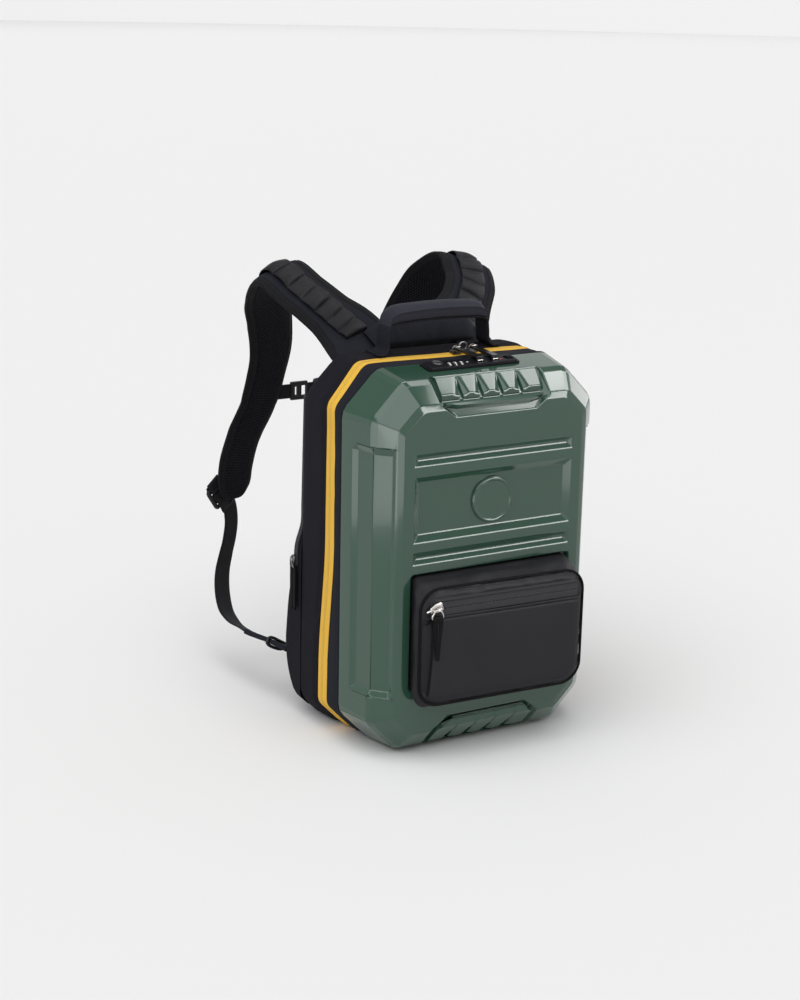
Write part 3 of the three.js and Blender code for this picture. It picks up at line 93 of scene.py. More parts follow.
# Lights and floor, in metres. A wide, soft sun and a pale sky light the whole floor evenly. The panels only give
# the glossy shell its highlights, so they are left out of the matt light.
studio = {
    "front": {"at": (1.95, -3.5, 1.35), "size": (2.6, 1.7), "glow": 8},
    "overhead": {"at": (2.1, -1.0, 2.7), "size": (1.1, 1.2), "glow": 7},
    "crown": {"at": (1.2, 0.5, 3.1), "size": (3.2, 0.7), "glow": 3},
    "right": {"at": (3.0, 0.8, 1.3), "size": (0.6, 1.4), "glow": 2.5},
    "low": {"at": (-0.7, -1.0, 0.02), "size": (1.1, 0.9), "glow": 1.7},
    "lowLeft": {"at": (-1.1, -0.4, 0.02), "size": (0.9, 1.1), "glow": 1.7},
    "left": {"at": (-3.2, -0.6, 0.9), "size": (0.5, 2.2), "glow": 0.7},
}
surround = {
    "aim": (0, -0.1, 0.3), "sun": 2.08, "sunFrom": (-0.35, -0.3, 1), "sunWidth": 70, "sky": 0.41,
    "floor": 0.86, "floorDrop": 0.0006, "floorShine": 0.1, "reach": 24,
    "wall": 0.25, "wallHeight": 12, "wallReach": 0.97, "wallGlow": 0.66, "wallSides": 96, "rough": 0.9,
}


def addLights():
    for name, light in studio.items():
        data = bpy.data.lights.new(name + "Light", "AREA")
        data.shape = "RECTANGLE"
        data.size, data.size_y = light["size"]
        data.energy = light["glow"] * math.pi * data.size * data.size_y
        lamp = linked(name + "Light", data)
        lamp.location = light["at"]
        aim = Vector(surround["aim"]) - lamp.location
        lamp.rotation_euler = aim.to_track_quat("-Z", "Y").to_euler()
        lamp.visible_diffuse = False
        lamp.visible_camera = False
    sun = bpy.data.lights.new("softSun", "SUN")
    sun.energy = surround["sun"]
    sun.angle = math.radians(surround["sunWidth"])
    lamp = linked("softSun", sun)
    lamp.rotation_euler = Vector(surround["sunFrom"]).to_track_quat("Z", "Y").to_euler()
    world = bpy.data.worlds.new("studioWorld")
    world.use_nodes = True
    sky = world.node_tree.nodes["Background"]
    sky.inputs["Color"].default_value = (1, 1, 1, 1)
    sky.inputs["Strength"].default_value = surround["sky"]
    bpy.context.scene.world = world


# Gives the surround's last made mesh its name and its even paint
def addBackdrop(name, level, shine, glow=0):
    piece = bpy.context.object
    piece.name = name
    paint = bpy.data.materials.new(name + "Paint")
    paint.use_nodes = True
    sockets = paint.node_tree.nodes["Principled BSDF"].inputs
    sockets["Base Color"].default_value = (level, level, level, 1)
    sockets["Roughness"].default_value = surround["rough"]
    sockets["Specular IOR Level"].default_value = shine
    if glow:
        sockets["Emission Color"].default_value = (1, 1, 1, 1)
        sockets["Emission Strength"].default_value = glow
    piece.data.materials.append(paint)
    piece.select_set(False)
    return piece


def addFloor():
    reach, high = surround["reach"], surround["wallHeight"]
    bpy.ops.mesh.primitive_plane_add(size=2 * reach, location=(0, 0, -surround["floorDrop"]))
    addBackdrop("floor", surround["floor"], surround["floorShine"])
    # A pale round wall far off hides the horizon. It takes no part in the matt light, so the floor stays even.
    bpy.ops.mesh.primitive_cylinder_add(
        vertices=surround["wallSides"], radius=reach * surround["wallReach"], depth=high,
        end_fill_type="NOTHING", location=(0, 0, high / 2),
    )
    wall = addBackdrop("wall", surround["wall"], 0, surround["wallGlow"])
    wall.visible_diffuse = False


addCamera()
addLights()
addFloor()
bpy.context.scene.view_settings.view_transform = "Standard"
print("camera, lights and floor")


# A socket that takes part in ordinary sums, each of which adds a Math node
class Wire:
    def __init__(self, finish, socket):
        self.finish = finish
        self.socket = socket

    def __abs__(self):
        return self.finish.math("ABSOLUTE", self)

    def sine(self):
        return self.finish.math("SINE", self)


def overload(sign, operation):
    setattr(Wire, "__%s__" % sign, lambda self, other: self.finish.math(operation, self, other))
    setattr(Wire, "__r%s__" % sign, lambda self, other: self.finish.math(operation, other, self))


for sign, operation in {
    "add": "ADD", "sub": "SUBTRACT", "mul": "MULTIPLY", "truediv": "DIVIDE",
    "pow": "POWER", "mod": "FLOORED_MODULO", "lt": "LESS_THAN", "gt": "GREATER_THAN",
}.items():
    overload(sign, operation)


def tone(red, green, blue):
    # 0 to 255 as seen on a screen, to the linear colour that a shader takes
    parts = [v / 255 for v in (red, green, blue)]
    return tuple(v / 12.92 if v <= 0.04045 else ((v + 0.055) / 1.055) ** 2.4 for v in parts) + (1,)


# A material that is put together node by node
class Finish:
    def __init__(self, name):
        self.material = bpy.data.materials.new(name)
        self.material.use_nodes = True
        self.tree = self.material.node_tree
        self.tree.nodes.clear()

    def add(self, kind, settings=None, inputs=None, out=0):
        node = self.tree.nodes.new(kind)
        for key, value in (settings or {}).items():
            if key == "stops":
                ramp = node.color_ramp
                while len(ramp.elements) < len(value):
                    ramp.elements.new(0.5)
                for element, (place, level) in zip(ramp.elements, value):
                    element.position = place
                    element.color = (level, level, level, 1)
            else:
                setattr(node, key, value)
        for key, value in (inputs or {}).items():
            socket = node.inputs[key]
            if isinstance(value, Wire):
                self.tree.links.new(value.socket, socket)
            else:
                socket.default_value = value
        return Wire(self, node.outputs[out]) if node.outputs else None

    def math(self, operation, *values):
        return self.add("ShaderNodeMath", {"operation": operation}, dict(enumerate(values)))

    def place(self):
        return self.add("ShaderNodeTexCoord", out="Object")

    # Across and along the piece's flat map
    def flat(self):
        cloth = self.add("ShaderNodeUVMap", {"uv_map": "cloth"})
        split = self.tree.nodes.new("ShaderNodeSeparateXYZ")
        self.tree.links.new(cloth.socket, split.inputs[0])
        return [Wire(self, split.outputs[k]) for k in range(2)]

    def speckle(self, vector, scale, detail=2.0, rough=0.5):
        sockets = {"Vector": vector, "Scale": scale, "Detail": detail, "Roughness": rough}
        return self.add("ShaderNodeTexNoise", {}, sockets)

    def ramp(self, value, *stops):
        return self.add("ShaderNodeValToRGB", {"stops": stops}, {"Fac": value})

    # Mix's colour sockets are number 6 and 7, and its colour comes out of number 2
    def blend(self, share, first, second):
        return self.add("ShaderNodeMix", {"data_type": "RGBA"}, {"Factor": share, 6: first, 7: second}, 2)

    def bump(self, height, depth):
        return self.add("ShaderNodeBump", {}, {"Height": height, "Strength": 1.0, "Distance": depth})

    def close(self, **sockets):
        surface = self.add("ShaderNodeBsdfPrincipled", {}, {k.replace("_", " "): v for k, v in sockets.items()})
        self.add("ShaderNodeOutputMaterial", {}, {"Surface": surface})
        return self.material


def makeShellGloss():
    f = Finish("mouldedGloss")
    at = f.place()
    drift = f.speckle(at, 5.0, 2.0)
    peel = f.speckle(at, 260.0, 1.0)
    scuff = f.ramp(f.speckle(at, 38.0, 6.0, 0.7), (0.6, 0), (0.78, 1))
    colour = f.blend(drift, tone(43, 75, 60), tone(48, 80, 65))
    wear = scuff * 0.04 + drift * 0.03
    return f.close(
        Base_Color=colour, Roughness=wear + 0.1, Normal=f.bump(peel, 0.000006),
        Coat_Weight=0.3, Coat_Roughness=0.04, Specular_IOR_Level=0.5,
    )


# threads per metre across and along, both of the cloth's own flat map
def wovenHeight(f, threads):
    across, along = f.flat()
    warp = (across * (math.pi * threads)).sine()
    weft = (along * (math.pi * threads)).sine()
    over = (warp * weft) > 0.0
    return over * abs(warp) + (1.0 - over) * abs(weft)


def makeCloth(name, dark, light, threads, depth, rough, sheen, shine=0.12):
    f = Finish(name)
    at = f.place()
    weave = wovenHeight(f, threads)
    drift = f.speckle(at, 9.0, 3.0)
    fluff = f.speckle(at, 900.0, 2.0)
    # The threads are painted lighter on their crowns and darker between them, painted shade, over random tone drift and
    # fluff
    colour = f.blend(weave * 0.55 + drift * 0.3 + fluff * 0.15, tone(*dark), tone(*light))
    return f.close(
        Base_Color=colour, Roughness=drift * 0.1 + rough, Normal=f.bump(weave + fluff * 0.5, depth),
        Sheen_Weight=sheen, Sheen_Roughness=0.4, Specular_IOR_Level=shine,
    )


def makeCoatedCloth():
    f = Finish("coatedCloth")
    at = f.place()
    grain = f.speckle(at, 700.0, 3.0, 0.6)
    drift = f.speckle(at, 14.0, 3.0)
    weave = wovenHeight(f, 1500)
    colour = f.blend(drift, tone(20, 19, 23), tone(28, 27, 32))
    return f.close(
        Base_Color=colour, Roughness=grain * 0.1 + drift * 0.08 + 0.42,
        Normal=f.bump(grain + weave * 0.4, 0.00005), Specular_IOR_Level=0.2,
    )


# Holes in a brick pattern, round at their edges and painted black as painted shade in their depth. rowShare makes the
# pattern's triangles equal-sided.
def makeSpacerMesh(pitch=0.0042, rowShare=0.866):
    f = Finish("spacerMesh")
    across, along = f.flat()
    row = along / (pitch * rowShare)
    shift = ((row % 2.0) > 1.0) * 0.5
    x = ((across / pitch + shift) % 1.0) - 0.5
    y = ((row % 1.0) - 0.5) * rowShare
    away = (x * x + y * y) ** 0.5
    hole = f.ramp(away, (0.3, 1), (0.44, 0))
    fluff = f.speckle(f.place(), 800.0, 2.0)
    # The holes are painted black: painted shade in their depth
    colour = f.blend(hole, f.blend(fluff, tone(26, 26, 33), tone(44, 44, 53)), tone(0, 0, 0))
    return f.close(
        Base_Color=colour, Roughness=0.9 - hole * 0.1, Normal=f.bump((1.0 - hole) + fluff * 0.2, 0.0006),
        Sheen_Weight=0.02, Specular_IOR_Level=0.06,
    )


# Cords run along the webbing and a zigzag of threads goes over them
def makeWebbing(cords=520, rows=620, zigzags=90.0, swing=0.004):
    f = Finish("strapWebbing")
    across, along = f.flat()
    cord = abs((across * (math.pi * cords)).sine())
    slant = abs(((across * zigzags) % 1.0) - 0.5) * swing
    zigzag = abs(((along + slant) * (math.pi * rows)).sine())
    height = zigzag * 0.7 + cord * 0.3
    drift = f.speckle(f.place(), 30.0, 3.0)
    # The threads' low parts are painted darker, painted shade between them, over random drift
    colour = f.blend(height * 0.6 + drift * 0.4, tone(15, 15, 18), tone(27, 27, 31))
    return f.close(
        Base_Color=colour, Roughness=0.62 + drift * 0.15, Normal=f.bump(height, 0.00035),
        Sheen_Weight=0.03, Specular_IOR_Level=0.14,
    )


def makeZipTape(name, tapeDark, tapeLight, toothDark, toothLight, pitch, coil=0.0022):
    f = Finish(name)
    across, along = f.flat()
    middle = abs(across)
    teeth = abs((along * (math.pi / pitch)).sine())
    isTooth = middle < coil
    ribs = abs((across * (math.pi * 900)).sine())
    fluff = f.speckle(f.place(), 700.0, 2.0)
    drift = f.speckle(f.place(), 18.0, 2.0)
    # The tape's ribs are painted lighter on top and darker between them, painted shade, with random fluff and drift
    tape = f.blend(ribs * 0.3 + fluff * 0.3 + drift * 0.4, tone(*tapeDark), tone(*tapeLight))
    # Each tooth is painted lighter at its middle and darker in the gaps between teeth: painted shade
    tooth = f.blend(teeth, tone(*toothDark), tone(*toothLight))
    return f.close(
        Base_Color=f.blend(isTooth, tape, tooth), Roughness=0.7 - isTooth * 0.25,
        Normal=f.bump(isTooth * teeth * 2.0 + ribs * 0.25 + fluff * 0.15, 0.0004), Specular_IOR_Level=0.35,
    )


def makePlastic(name, dark, light, rough, grainDepth, shine=0.35):
    f = Finish(name)
    at = f.place()
    grain = f.speckle(at, 1500.0, 1.0)
    drift = f.speckle(at, 60.0, 4.0)
    return f.close(
        Base_Color=f.blend(drift, tone(*dark), tone(*light)), Roughness=drift * 0.12 + rough,
        Normal=f.bump(grain, grainDepth), Specular_IOR_Level=shine,
    )


def makeMetal(name, colour, worn, rough):
    f = Finish(name)
    at = f.place()
    drift = f.speckle(at, 220.0, 4.0)
    return f.close(
        Base_Color=f.blend(drift, colour, worn), Metallic=1.0, Roughness=drift * 0.14 + rough,
        Normal=f.bump(f.speckle(at, 1800.0, 1.0), 0.000006),
    )


# Dark and light tones, then for cloth its threads per metre, depth in metres, roughness, sheen and shine, and for
# plastic its roughness, grain in metres and shine
looks = {
    "shell": makeShellGloss(),
    "cloth": makeCloth("bodyCloth", (19, 18, 24), (30, 29, 37), 1250, 0.00009, 0.76, 0.0, 0.08),
    "trim": makeCloth("trimCloth", (36, 36, 46), (50, 50, 61), 1250, 0.00009, 0.66, 0.04),
    "strap": makeCloth("strapCloth", (24, 25, 31), (38, 39, 47), 1100, 0.0001, 0.72, 0.0, 0.08),
    "binding": makeCloth("bindingTape", (14, 14, 17), (24, 24, 28), 900, 0.00016, 0.7, 0.02),
    "zip": makeZipTape("mainZipTape", (222, 168, 42), (244, 196, 70), (196, 142, 32), (248, 204, 86), 0.0025),
    "darkZip": makeZipTape("darkZipTape", (26, 26, 30), (40, 40, 46), (16, 16, 18), (52, 52, 58), 0.002),
    "satin": makeCloth("satinWebbing", (12, 12, 16), (22, 22, 28), 900, 0.00008, 0.44, 0.0, 0.18),
    "mesh": makeSpacerMesh(),
    "webbing": makeWebbing(),
    "coated": makeCoatedCloth(),
    "plastic": makePlastic("mouldedPlastic", (18, 18, 21), (26, 26, 30), 0.46, 0.00004),
    "lockPlastic": makePlastic("lockPlastic", (15, 15, 20), (23, 23, 29), 0.26, 0.00003, 0.05),
    "pull": makePlastic("pullGloss", (14, 14, 17), (22, 22, 26), 0.2, 0.00001),
    "metal": makeMetal("polishedMetal", (0.56, 0.54, 0.52, 1), (0.4, 0.38, 0.36, 1), 0.18),
    "gunmetal": makeMetal("darkMetal", (0.1, 0.1, 0.1, 1), (0.2, 0.19, 0.19, 1), 0.24),
    "dark": makePlastic("darkCoat", (4, 4, 6), (8, 8, 11), 0.6, 0.00003, 0.1),
    "red": makePlastic("redPlastic", (196, 22, 48), (208, 30, 56), 0.25, 0.00001),
    "digits": makePlastic("dialDigits", (225, 225, 225), (240, 240, 240), 0.5, 0.00001),
}
print("materials")


# The finished object of a mesh: linked, given its materials and shaded smooth up to an angle
def dress(name, mesh, materials, smoothAngle=40):
    piece = linked(name, mesh)
    for look in materials:
        mesh.materials.append(looks[look])
    pick(piece)
    bpy.ops.object.shade_smooth_by_angle(angle=math.radians(smoothAngle))
    piece.select_set(False)
    return piece


def pick(piece):
    bpy.ops.object.select_all(action="DESELECT")
    piece.select_set(True)
    bpy.context.view_layer.objects.active = piece


# What a finished piece stands for, whose model node is hidden, and the body it rides on.
# slot is not used.
def settle(piece, slot, node=None, body="bag"):
    if node:
        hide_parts(node)
    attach(piece, body)
    return piece


def runAlong(points):
    lengths = [0.0]
    for a, b in zip(points, points[1:]):
        lengths.append(lengths[-1] + (b - a).length)
    return lengths


# A skin through rows of points in millimetres. closed joins a row's ends, ring joins the last row to the
# first, and lookOf gives the number of the material for a row and a place in it. The flat map named cloth
# holds each face's place across and along in metres, and across is 0 at the row's point centreAt.
def loft(name, rows, materials, closed=True, ring=False, caps=True, lookOf=None, centreAt=0, angle=40):
    count = len(rows[0])
    points = [Vector(p) * mm for row in rows for p in row]
    rowAt = lambda r: [points[r * count + i % count] for i in range(count + 1)]
    middles = [sum(rowAt(r)[:count], Vector()) / count for r in range(len(rows))]
    alongs = runAlong(middles + middles[:1])
    spans = range(count if closed else count - 1)
    acrosses = []
    for r in range(len(rows)):
        run = runAlong(rowAt(r)[:len(spans) + 1])
        acrosses.append([v - run[centreAt] for v in run])
    faces, marks, flats = [], [], []
    for r in range(len(rows) if ring else len(rows) - 1):
        up = (r + 1) % len(rows)
        for i in spans:
            j = (i + 1) % count
            faces.append((r * count + i, r * count + j, up * count + j, up * count + i))
            corners = ((r, i, r), (r, i + 1, r), (up, i + 1, r + 1), (up, i, r + 1))
            flats.append([(acrosses[a][b], alongs[c]) for a, b, c in corners])
            marks.append(lookOf(r, i) if lookOf else 0)
    if closed and caps and not ring:
        for r in (0, len(rows) - 1):
            faces.append(tuple(r * count + i for i in range(count)))
            row = rowAt(r)
            axes = [(row[count // k] - row[0]).normalized() for k in (4, 2)]
            flats.append([tuple((p - row[0]).dot(axis) for axis in axes) for p in row[:count]])
            marks.append(lookOf(r, -1) if lookOf else 0)
    mesh = bpy.data.meshes.new(name)
    mesh.from_pydata(points, [], faces)
    layer = mesh.uv_layers.new(name="cloth")
    for polygon, flat, mark in zip(mesh.polygons, flats, marks):
        polygon.material_index = mark
        for loop, uv in zip(polygon.loop_indices, flat):
            layer.data[loop].uv = uv
    turnOut(mesh)
    return dress(name, mesh, materials, angle)


# Runs an edit on a mesh's faces, edges and points
def rework(mesh, edit):
    work = bmesh.new()
    work.from_mesh(mesh)
    edit(work)
    work.to_mesh(mesh)
    work.free()


def turnOut(mesh):
    rework(mesh, lambda work: bmesh.ops.recalc_face_normals(work, faces=work.faces))


# A piece that starts as a copy of a model node: merged, its flat faces joined and its edges eased. drop tells
# which faces another piece replaces.
easing = {"merge": 0.00001, "flat": 0.6, "weight": 80}


def eased(node, look, slot, width, segments=3, angle=30, body="bag", name=None, clamp=True, drop=None):
    def clean(work):
        bmesh.ops.remove_doubles(work, verts=work.verts, dist=easing["merge"])
        flat = math.radians(easing["flat"])
        bmesh.ops.dissolve_limit(work, angle_limit=flat, verts=work.verts, edges=work.edges)
        bmesh.ops.recalc_face_normals(work, faces=work.faces)
        if not clamp:
            bmesh.ops.triangulate(work, faces=work.faces)
        if drop:
            gone = [f for f in work.faces if drop(f.calc_center_median() / mm)]
            bmesh.ops.delete(work, geom=gone, context="FACES")

    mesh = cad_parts[node].data.copy()
    rework(mesh, clean)
    mesh.materials.clear()
    piece = dress(name or node.replace("_", " ").title().replace(" ", ""), mesh, [look], 180)
    for polygon in mesh.polygons:
        polygon.material_index = 0
    bevel = piece.modifiers.new("edges", "BEVEL")
    bevel.width = width
    bevel.segments = segments
    bevel.limit_method = "ANGLE"
    bevel.angle_limit = math.radians(angle)
    bevel.harden_normals = False
    bevel.use_clamp_overlap = clamp
    weight = piece.modifiers.new("flats", "WEIGHTED_NORMAL")
    weight.keep_sharp = False
    weight.weight = easing["weight"]
    pick(piece)
    for modifier in ("edges", "flats"):
        bpy.ops.object.modifier_apply(modifier=modifier)
    piece.select_set(False)
    return settle(piece, slot, node, body)


# Half of a cut-corner outline from the middle of its low side to the middle of its high side, with rounded
# corners, then the other half. Each point is (x, z, along), and along is its place on its half.
outlineSteps = {"low": 14, "cut": 7, "side": 44, "high": 14, "corner": 6}


def outline(half, low, high, cutX, cutZ, lowX, lowZ, around):
    corners = [
        Vector(p) for p in ((0, low), (half - lowX, low), (half, low + lowZ),
                            (half, high - cutZ), (half - cutX, high), (0, high))
    ]
    steps = [outlineSteps[k] for k in ("low", "cut", "side", "cut", "high")]
    right = [corners[0]]
    start = corners[0]
    for k in range(1, len(corners)):
        isLast = k == len(corners) - 1
        before = (corners[k - 1] - corners[k]).normalized() * (0 if isLast else around)
        end = corners[k] + before
        right += [start.lerp(end, s / steps[k - 1]) for s in range(1, steps[k - 1] + 1)]
        if isLast:
            break
        after = corners[k] + (corners[k + 1] - corners[k]).normalized() * around
        for s in range(1, outlineSteps["corner"] + 1):
            t = s / outlineSteps["corner"]
            right.append(end * (1 - t) ** 2 + corners[k] * (2 * t * (1 - t)) + after * t ** 2)
        start = after
    lengths = runAlong(right)
    ahead = [(p.x, p.y, s / lengths[-1]) for p, s in zip(right, lengths)]
    return ahead + [(-x, z, s) for x, z, s in reversed(ahead[1:-1])]


def lowCut(back):
    return 1 - back / bag["cornerFill"]


def rimOutline(inset, back=0.0, extraRound=0.0):
    shrink = inset * (2 - math.sqrt(2))
    cutX, cutZ, low = bag["rimCutX"], bag["rimCutZ"], lowCut(back)
    return outline(
        bag["width"] / 2 - inset, inset, bag["height"] - inset, cutX - shrink, cutZ - shrink,
        cutX * low - shrink, cutZ * low - shrink, max(bag["cornerRound"] - inset * 0.1, 2) + extraRound,
    )


def lookUp(rows, place):
    # rows of (place, value), with straight steps between them
    if place <= rows[0][0]:
        return rows[0][1]
    for (a, low), (b, high) in zip(rows, rows[1:]):
        if place <= b:
            return low + (high - low) * (place - a) / (b - a)
    return rows[-1][1]


# The same, evened out over a reach to both sides
def softLook(rows, place, reach):
    return sum(lookUp(rows, place + reach * k) for k in (-1, -0.5, 0, 0.5, 1)) / 5


def column(rows, c):
    return [(r[0], r[c]) for r in rows]


# Both halves of a line of (x, y) that ends on the middle
def bothSides(half):
    return half + [(-x, y) for x, y in reversed(half[:-1])]


def share01(v):
    return min(1, max(0, v))


def bump01(v):
    # A round hill, 1 high at 0
    return math.exp(-(v ** 2))


# How far the zip's middle lies behind the rim, in shares of its setback, along half of the outline
zipLine = [(0, 1.5), (0.25, 1.5), (0.34, 1.46), (0.5, 1), (0.74, 0.97), (0.8, 1.15), (0.88, 1.5), (1, 1.28)]

# How far each hem comes over the zip's tape, from the foot's middle to the top's
zipHem = [(0, -1), (0.34, -1), (0.5, 0), (0.7, 1.6), (0.78, 2.4), (0.84, 1.6), (0.9, 0.4), (1, 0)]


def zipY(along):
    around = [lookUp(zipLine, along + shift) for shift in (-0.03, -0.015, 0, 0.015, 0.03)]
    return rimY + bag["zipSetback"] * sum(around) / len(around)


def leanAt(z):
    return bag["backLean"] * z / bag["height"]


def wander(x, y, z, size, seed=0.0):
    # A slow, smooth drift between about -1 and 1, for creases and unevenness in cloth
    return noise.noise(Vector((x / size + seed, y / size - seed, z / size + 2 * seed)))


# Moves a piece's points along their normals by a drift, for soft creases. amount is in millimetres, and mask
# gives the share of it for a point.
def crease(piece, amount, size, seed=0.0, mask=None, stretch=(1, 1, 1)):
    mesh = piece.data
    normals = [v.normal.copy() for v in mesh.vertices]
    for vertex, normal in zip(mesh.vertices, normals):
        p = vertex.co / mm
        share = mask(p) if mask else 1
        if share:
            x, y, z = (p[k] * stretch[k] for k in range(3))
            vertex.co += normal * (amount * mm * share * wander(x, y, z, size, seed))
    mesh.update()


def transposed(rows):
    return [list(row) for row in zip(*rows)]


print("tools")


# The disc in the panel. Ridge points are (out from its edge, above its face).
boss = {
    "radius": 26.4, "sink": 2.5, "z": 324.5, "steps": 72,
    "ridge": [(3.0, -2.4), (2.7, -0.8), (2.0, 0.5), (0.9, 1.15), (-0.4, 1.1), (-1.7, 0.55), (-2.7, -0.2), (-3.2, -1.0)],
}


# The ribs in the recesses of the upper (1) and lower (-1) bevel, as one faceted field each. Each edge is the bevel's
# foot and head as (y, z). Rows give a value over the height up the bevel: crest and groove as shares of half a pitch,
# fall and bed in millimetres, lip and lowFloor as depths of the recess's floor, and wide as half the field's width.
# plain is where the model's own ribs stand.
ribs = {
    "pitch": 28.5, "count": 5, "rise": 5.6, "depth": 9.5, "headDepth": 5.8, "head": 41,
    "edges": {1: ((-167.5, 449.15), (-140.6, 476.26)), -1: ((-167.5, 35.8), (-140.6, 5.8))},
    "crest": ((11, 0.14), (18, 0.26), (40, 0.86)), "groove": ((9, 0.17), (16, 0.15), (38, 0.03), (42, 0)),
    "fall": ((10, 2.4), (18, 2.1), (40, 0.3)), "bed": ((0, 0), (28, 0.3), (38, 4.4), (41, 5.6)),
    "endSlope": 0.9, "start": 11, "tail": ((40, 5.6), (42.5, 4.4), (44.5, 1.0)), "wallWidth": 0.05,
    "lowFloor": ((0, 5.66), (2, 5.7), (10, 6.2), (41, 6.6), (44, 6.9)),
    "lip": ((0.3, 0.7), (5.6, 2.2), (5.9, 2.5), (6.2, 9.0), (12, 7.8), (17, 7.97)), "lipTo": 17,
    "wide": {
        1: ((0.3, 53), (4, 69.8), (41, 71.4), (44, 77)), -1: ((-14, 52), (0, 64), (4, 69.8), (41, 71.4), (44, 77)),
    },
    "under": (-14, 0), "foot": (0.3, 2, 4, 5.6, 5.9, 6.2, 8, 10), "step": 0.65, "steps": 48, "last": (42.4, 43.2, 44),
    "mirror": 54, "skirt": 0.5, "plain": {"half": 71, "from": 1.5, "to": 45, "headFrom": 40.5, "rise": (0.2, 1.05, 8)},
}


def bevelFrame(side):
    (footY, footZ), (headY, headZ) = ribs["edges"][side]
    foot = Vector((0, footY, footZ))
    up = (Vector((0, headY, headZ)) - foot).normalized()
    across = Vector((side, 0, 0))
    return foot, across, up.cross(across), up


def ribFloor(up):
    return ribs["depth"] + (ribs["headDepth"] - ribs["depth"]) * up / ribs["head"]


# True on the model's plain ribs, which give way to the faceted fields
def isRib(p):
    plain = ribs["plain"]
    for side in (1, -1):
        foot, across, inward, up = bevelFrame(side)
        x, deep, high = ((p - foot).dot(v) for v in (across, inward, up))
        least, leastAtHead, most = plain["rise"]
        inField = abs(x) < plain["half"] and plain["from"] < high < plain["to"]
        if inField and (least if high < plain["headFrom"] else leastAtHead) < ribFloor(high) - deep < most:
            return True
    return False


def softLeast(a, b, reach):
    over = max(reach - abs(a - b), 0) / reach
    return min(a, b) - over * over * reach / 4


# Height of the ribs over the recess's floor: broad facets, pointed grooves and a sloped lower end. tail lets
# the upper ends sink into the bevel.
def ribRise(x, high, tail=True):
    half = ribs["pitch"] / 2
    n = min(ribs["count"] - 1, max(0, math.floor((x + half * ribs["count"]) / ribs["pitch"])))
    off = (x + half * ribs["count"] - (n + 0.5) * ribs["pitch"]) / half
    crest, groove, fall, bed = (lookUp(ribs[k], high) for k in ("crest", "groove", "fall", "bed"))
    a, wall = abs(off), ribs["wallWidth"]
    if n == 0 and off < 0 or n == ribs["count"] - 1 and off > 0 or a <= crest:
        rise = ribs["rise"]
    else:
        shoulder = ribs["rise"] - fall
        rise = ribs["rise"] - fall * (a - crest) / max(wall, 1 - groove - wall - crest)
        if a > 1 - groove - wall:
            steep = shoulder + (bed - shoulder) * share01((a - (1 - groove - wall)) / wall)
            rise = max(bed, min(rise, steep))
    rise = softLeast(rise, (high - ribs["start"]) * ribs["endSlope"], 0.7)
    return max(0.0, softLeast(rise, lookUp(ribs["tail"], high), 0.5) if tail else rise)


# Places across a row, closer where the facets turn
def ribPlaces(high, wide):
    half = ribs["pitch"] / 2
    groove, crest = (lookUp(ribs[k], high) for k in ("groove", "crest"))
    stops = [0, crest * 0.5, crest - 0.05, crest + 0.05, (crest + 1 - groove) / 2 - 0.03]
    stops += [v - groove for v in (0.93, 0.962, 1.005, 1.03)]
    places = []
    for n in range(ribs["count"]):
        middle = (n + 0.5) * ribs["pitch"] - half * ribs["count"]
        places += [middle + v * half for v in [-v for v in reversed(stops)] + stops[1:]]
    return [-wide] + [min(wide, max(-wide, x)) for x in places] + [wide]


def makeRibs():
    rowsUp = list(ribs["foot"]) + [ribs["start"] + ribs["step"] * k for k in range(ribs["steps"])] + list(ribs["last"])
    for side in (1, -1):
        foot, across, inward, up = bevelFrame(side)
        at = lambda x, deep, high: foot + across * x + inward * deep + up * high
        rows = []
        for high in (rowsUp if side > 0 else list(ribs["under"]) + rowsUp):
            wide = lookUp(ribs["wide"][side], high)
            mirror = ribs["mirror"] - high
            places = ribPlaces(high if side > 0 else mirror, wide)
            if side > 0:
                deep = ribFloor(high) - (0.95 if high > 42 else 0)
                base = min(deep, lookUp(ribs["lip"], high) if high < ribs["lipTo"] else ribFloor(high))
                row = [at(x, base - ribRise(x, high) - 0.04, high) for x in places]
            elif high < 0:
                # The field goes on under the front face
                deep = 4
                row = [foot + across * x + Vector((0, 0.06, -high)) for x in places]
            else:
                # At the bottom the grooves start on the flush bevel and open downwards
                deep = lookUp(ribs["lowFloor"], high)
                row = [at(x, deep - ribRise(x, mirror, False), high) for x in places]
            rows.append(row + [at(x, deep + ribs["skirt"], high) for x in (wide, -wide)])
        settle(loft("ribField" + ("Top" if side > 0 else "Bottom"), rows, ["shell"], angle=38), "shell")


# The moulded shell, from the model's own shape with its edges eased, and the low ridge round the panel's blank disc
def makeShell():
    eased("shell", "shell", "shell", 0.0015, angle=9, name="mouldedShell", clamp=False, drop=isRib)
    makeRibs()
    ridge = []
    for i in range(boss["steps"] + 1):
        turn = 2 * math.pi * i / boss["steps"]
        ridge.append([(
            math.cos(turn) * (boss["radius"] + side),
            frontY + boss["sink"] - rise,
            boss["z"] + math.sin(turn) * (boss["radius"] + side),
        ) for side, rise in boss["ridge"]])
    settle(loft("discRidge", ridge, ["shell"], closed=False, caps=False, angle=70), "shell")


# The cloth band between the shell and the zip. Rows are (behind the rim, inset), then the same from the
# zip's edge forwards. The thin near-black cord beside the shell is painted shade, standing for the dark gap at the
# shell's edge.
rimBand = {
    "bead": [(0.4, 5), (0.4, 3.4), (1.0, 2.2), (1.9, 1.0), (3.0, 0.1), (4.4, -0.2), (5.7, 0.2), (6.8, 1.1), (7.4, 2.7)],
    "face": [(8.1, 2.2), (9.0, 1.85)], "middle": (0.3, 0.6), "middleInset": 1.5,
    "hem": [(-4.6, 1.8), (-3.5, 1.9), (-3.1, 2.4), (-2.7, 1.9), (-0.9, 1.75), (-0.2, 2.1), (0, 2.8), (0, 5)],
    "gapShade": {"back": 0.7, "inset": 1.5, "radius": 0.75},
}


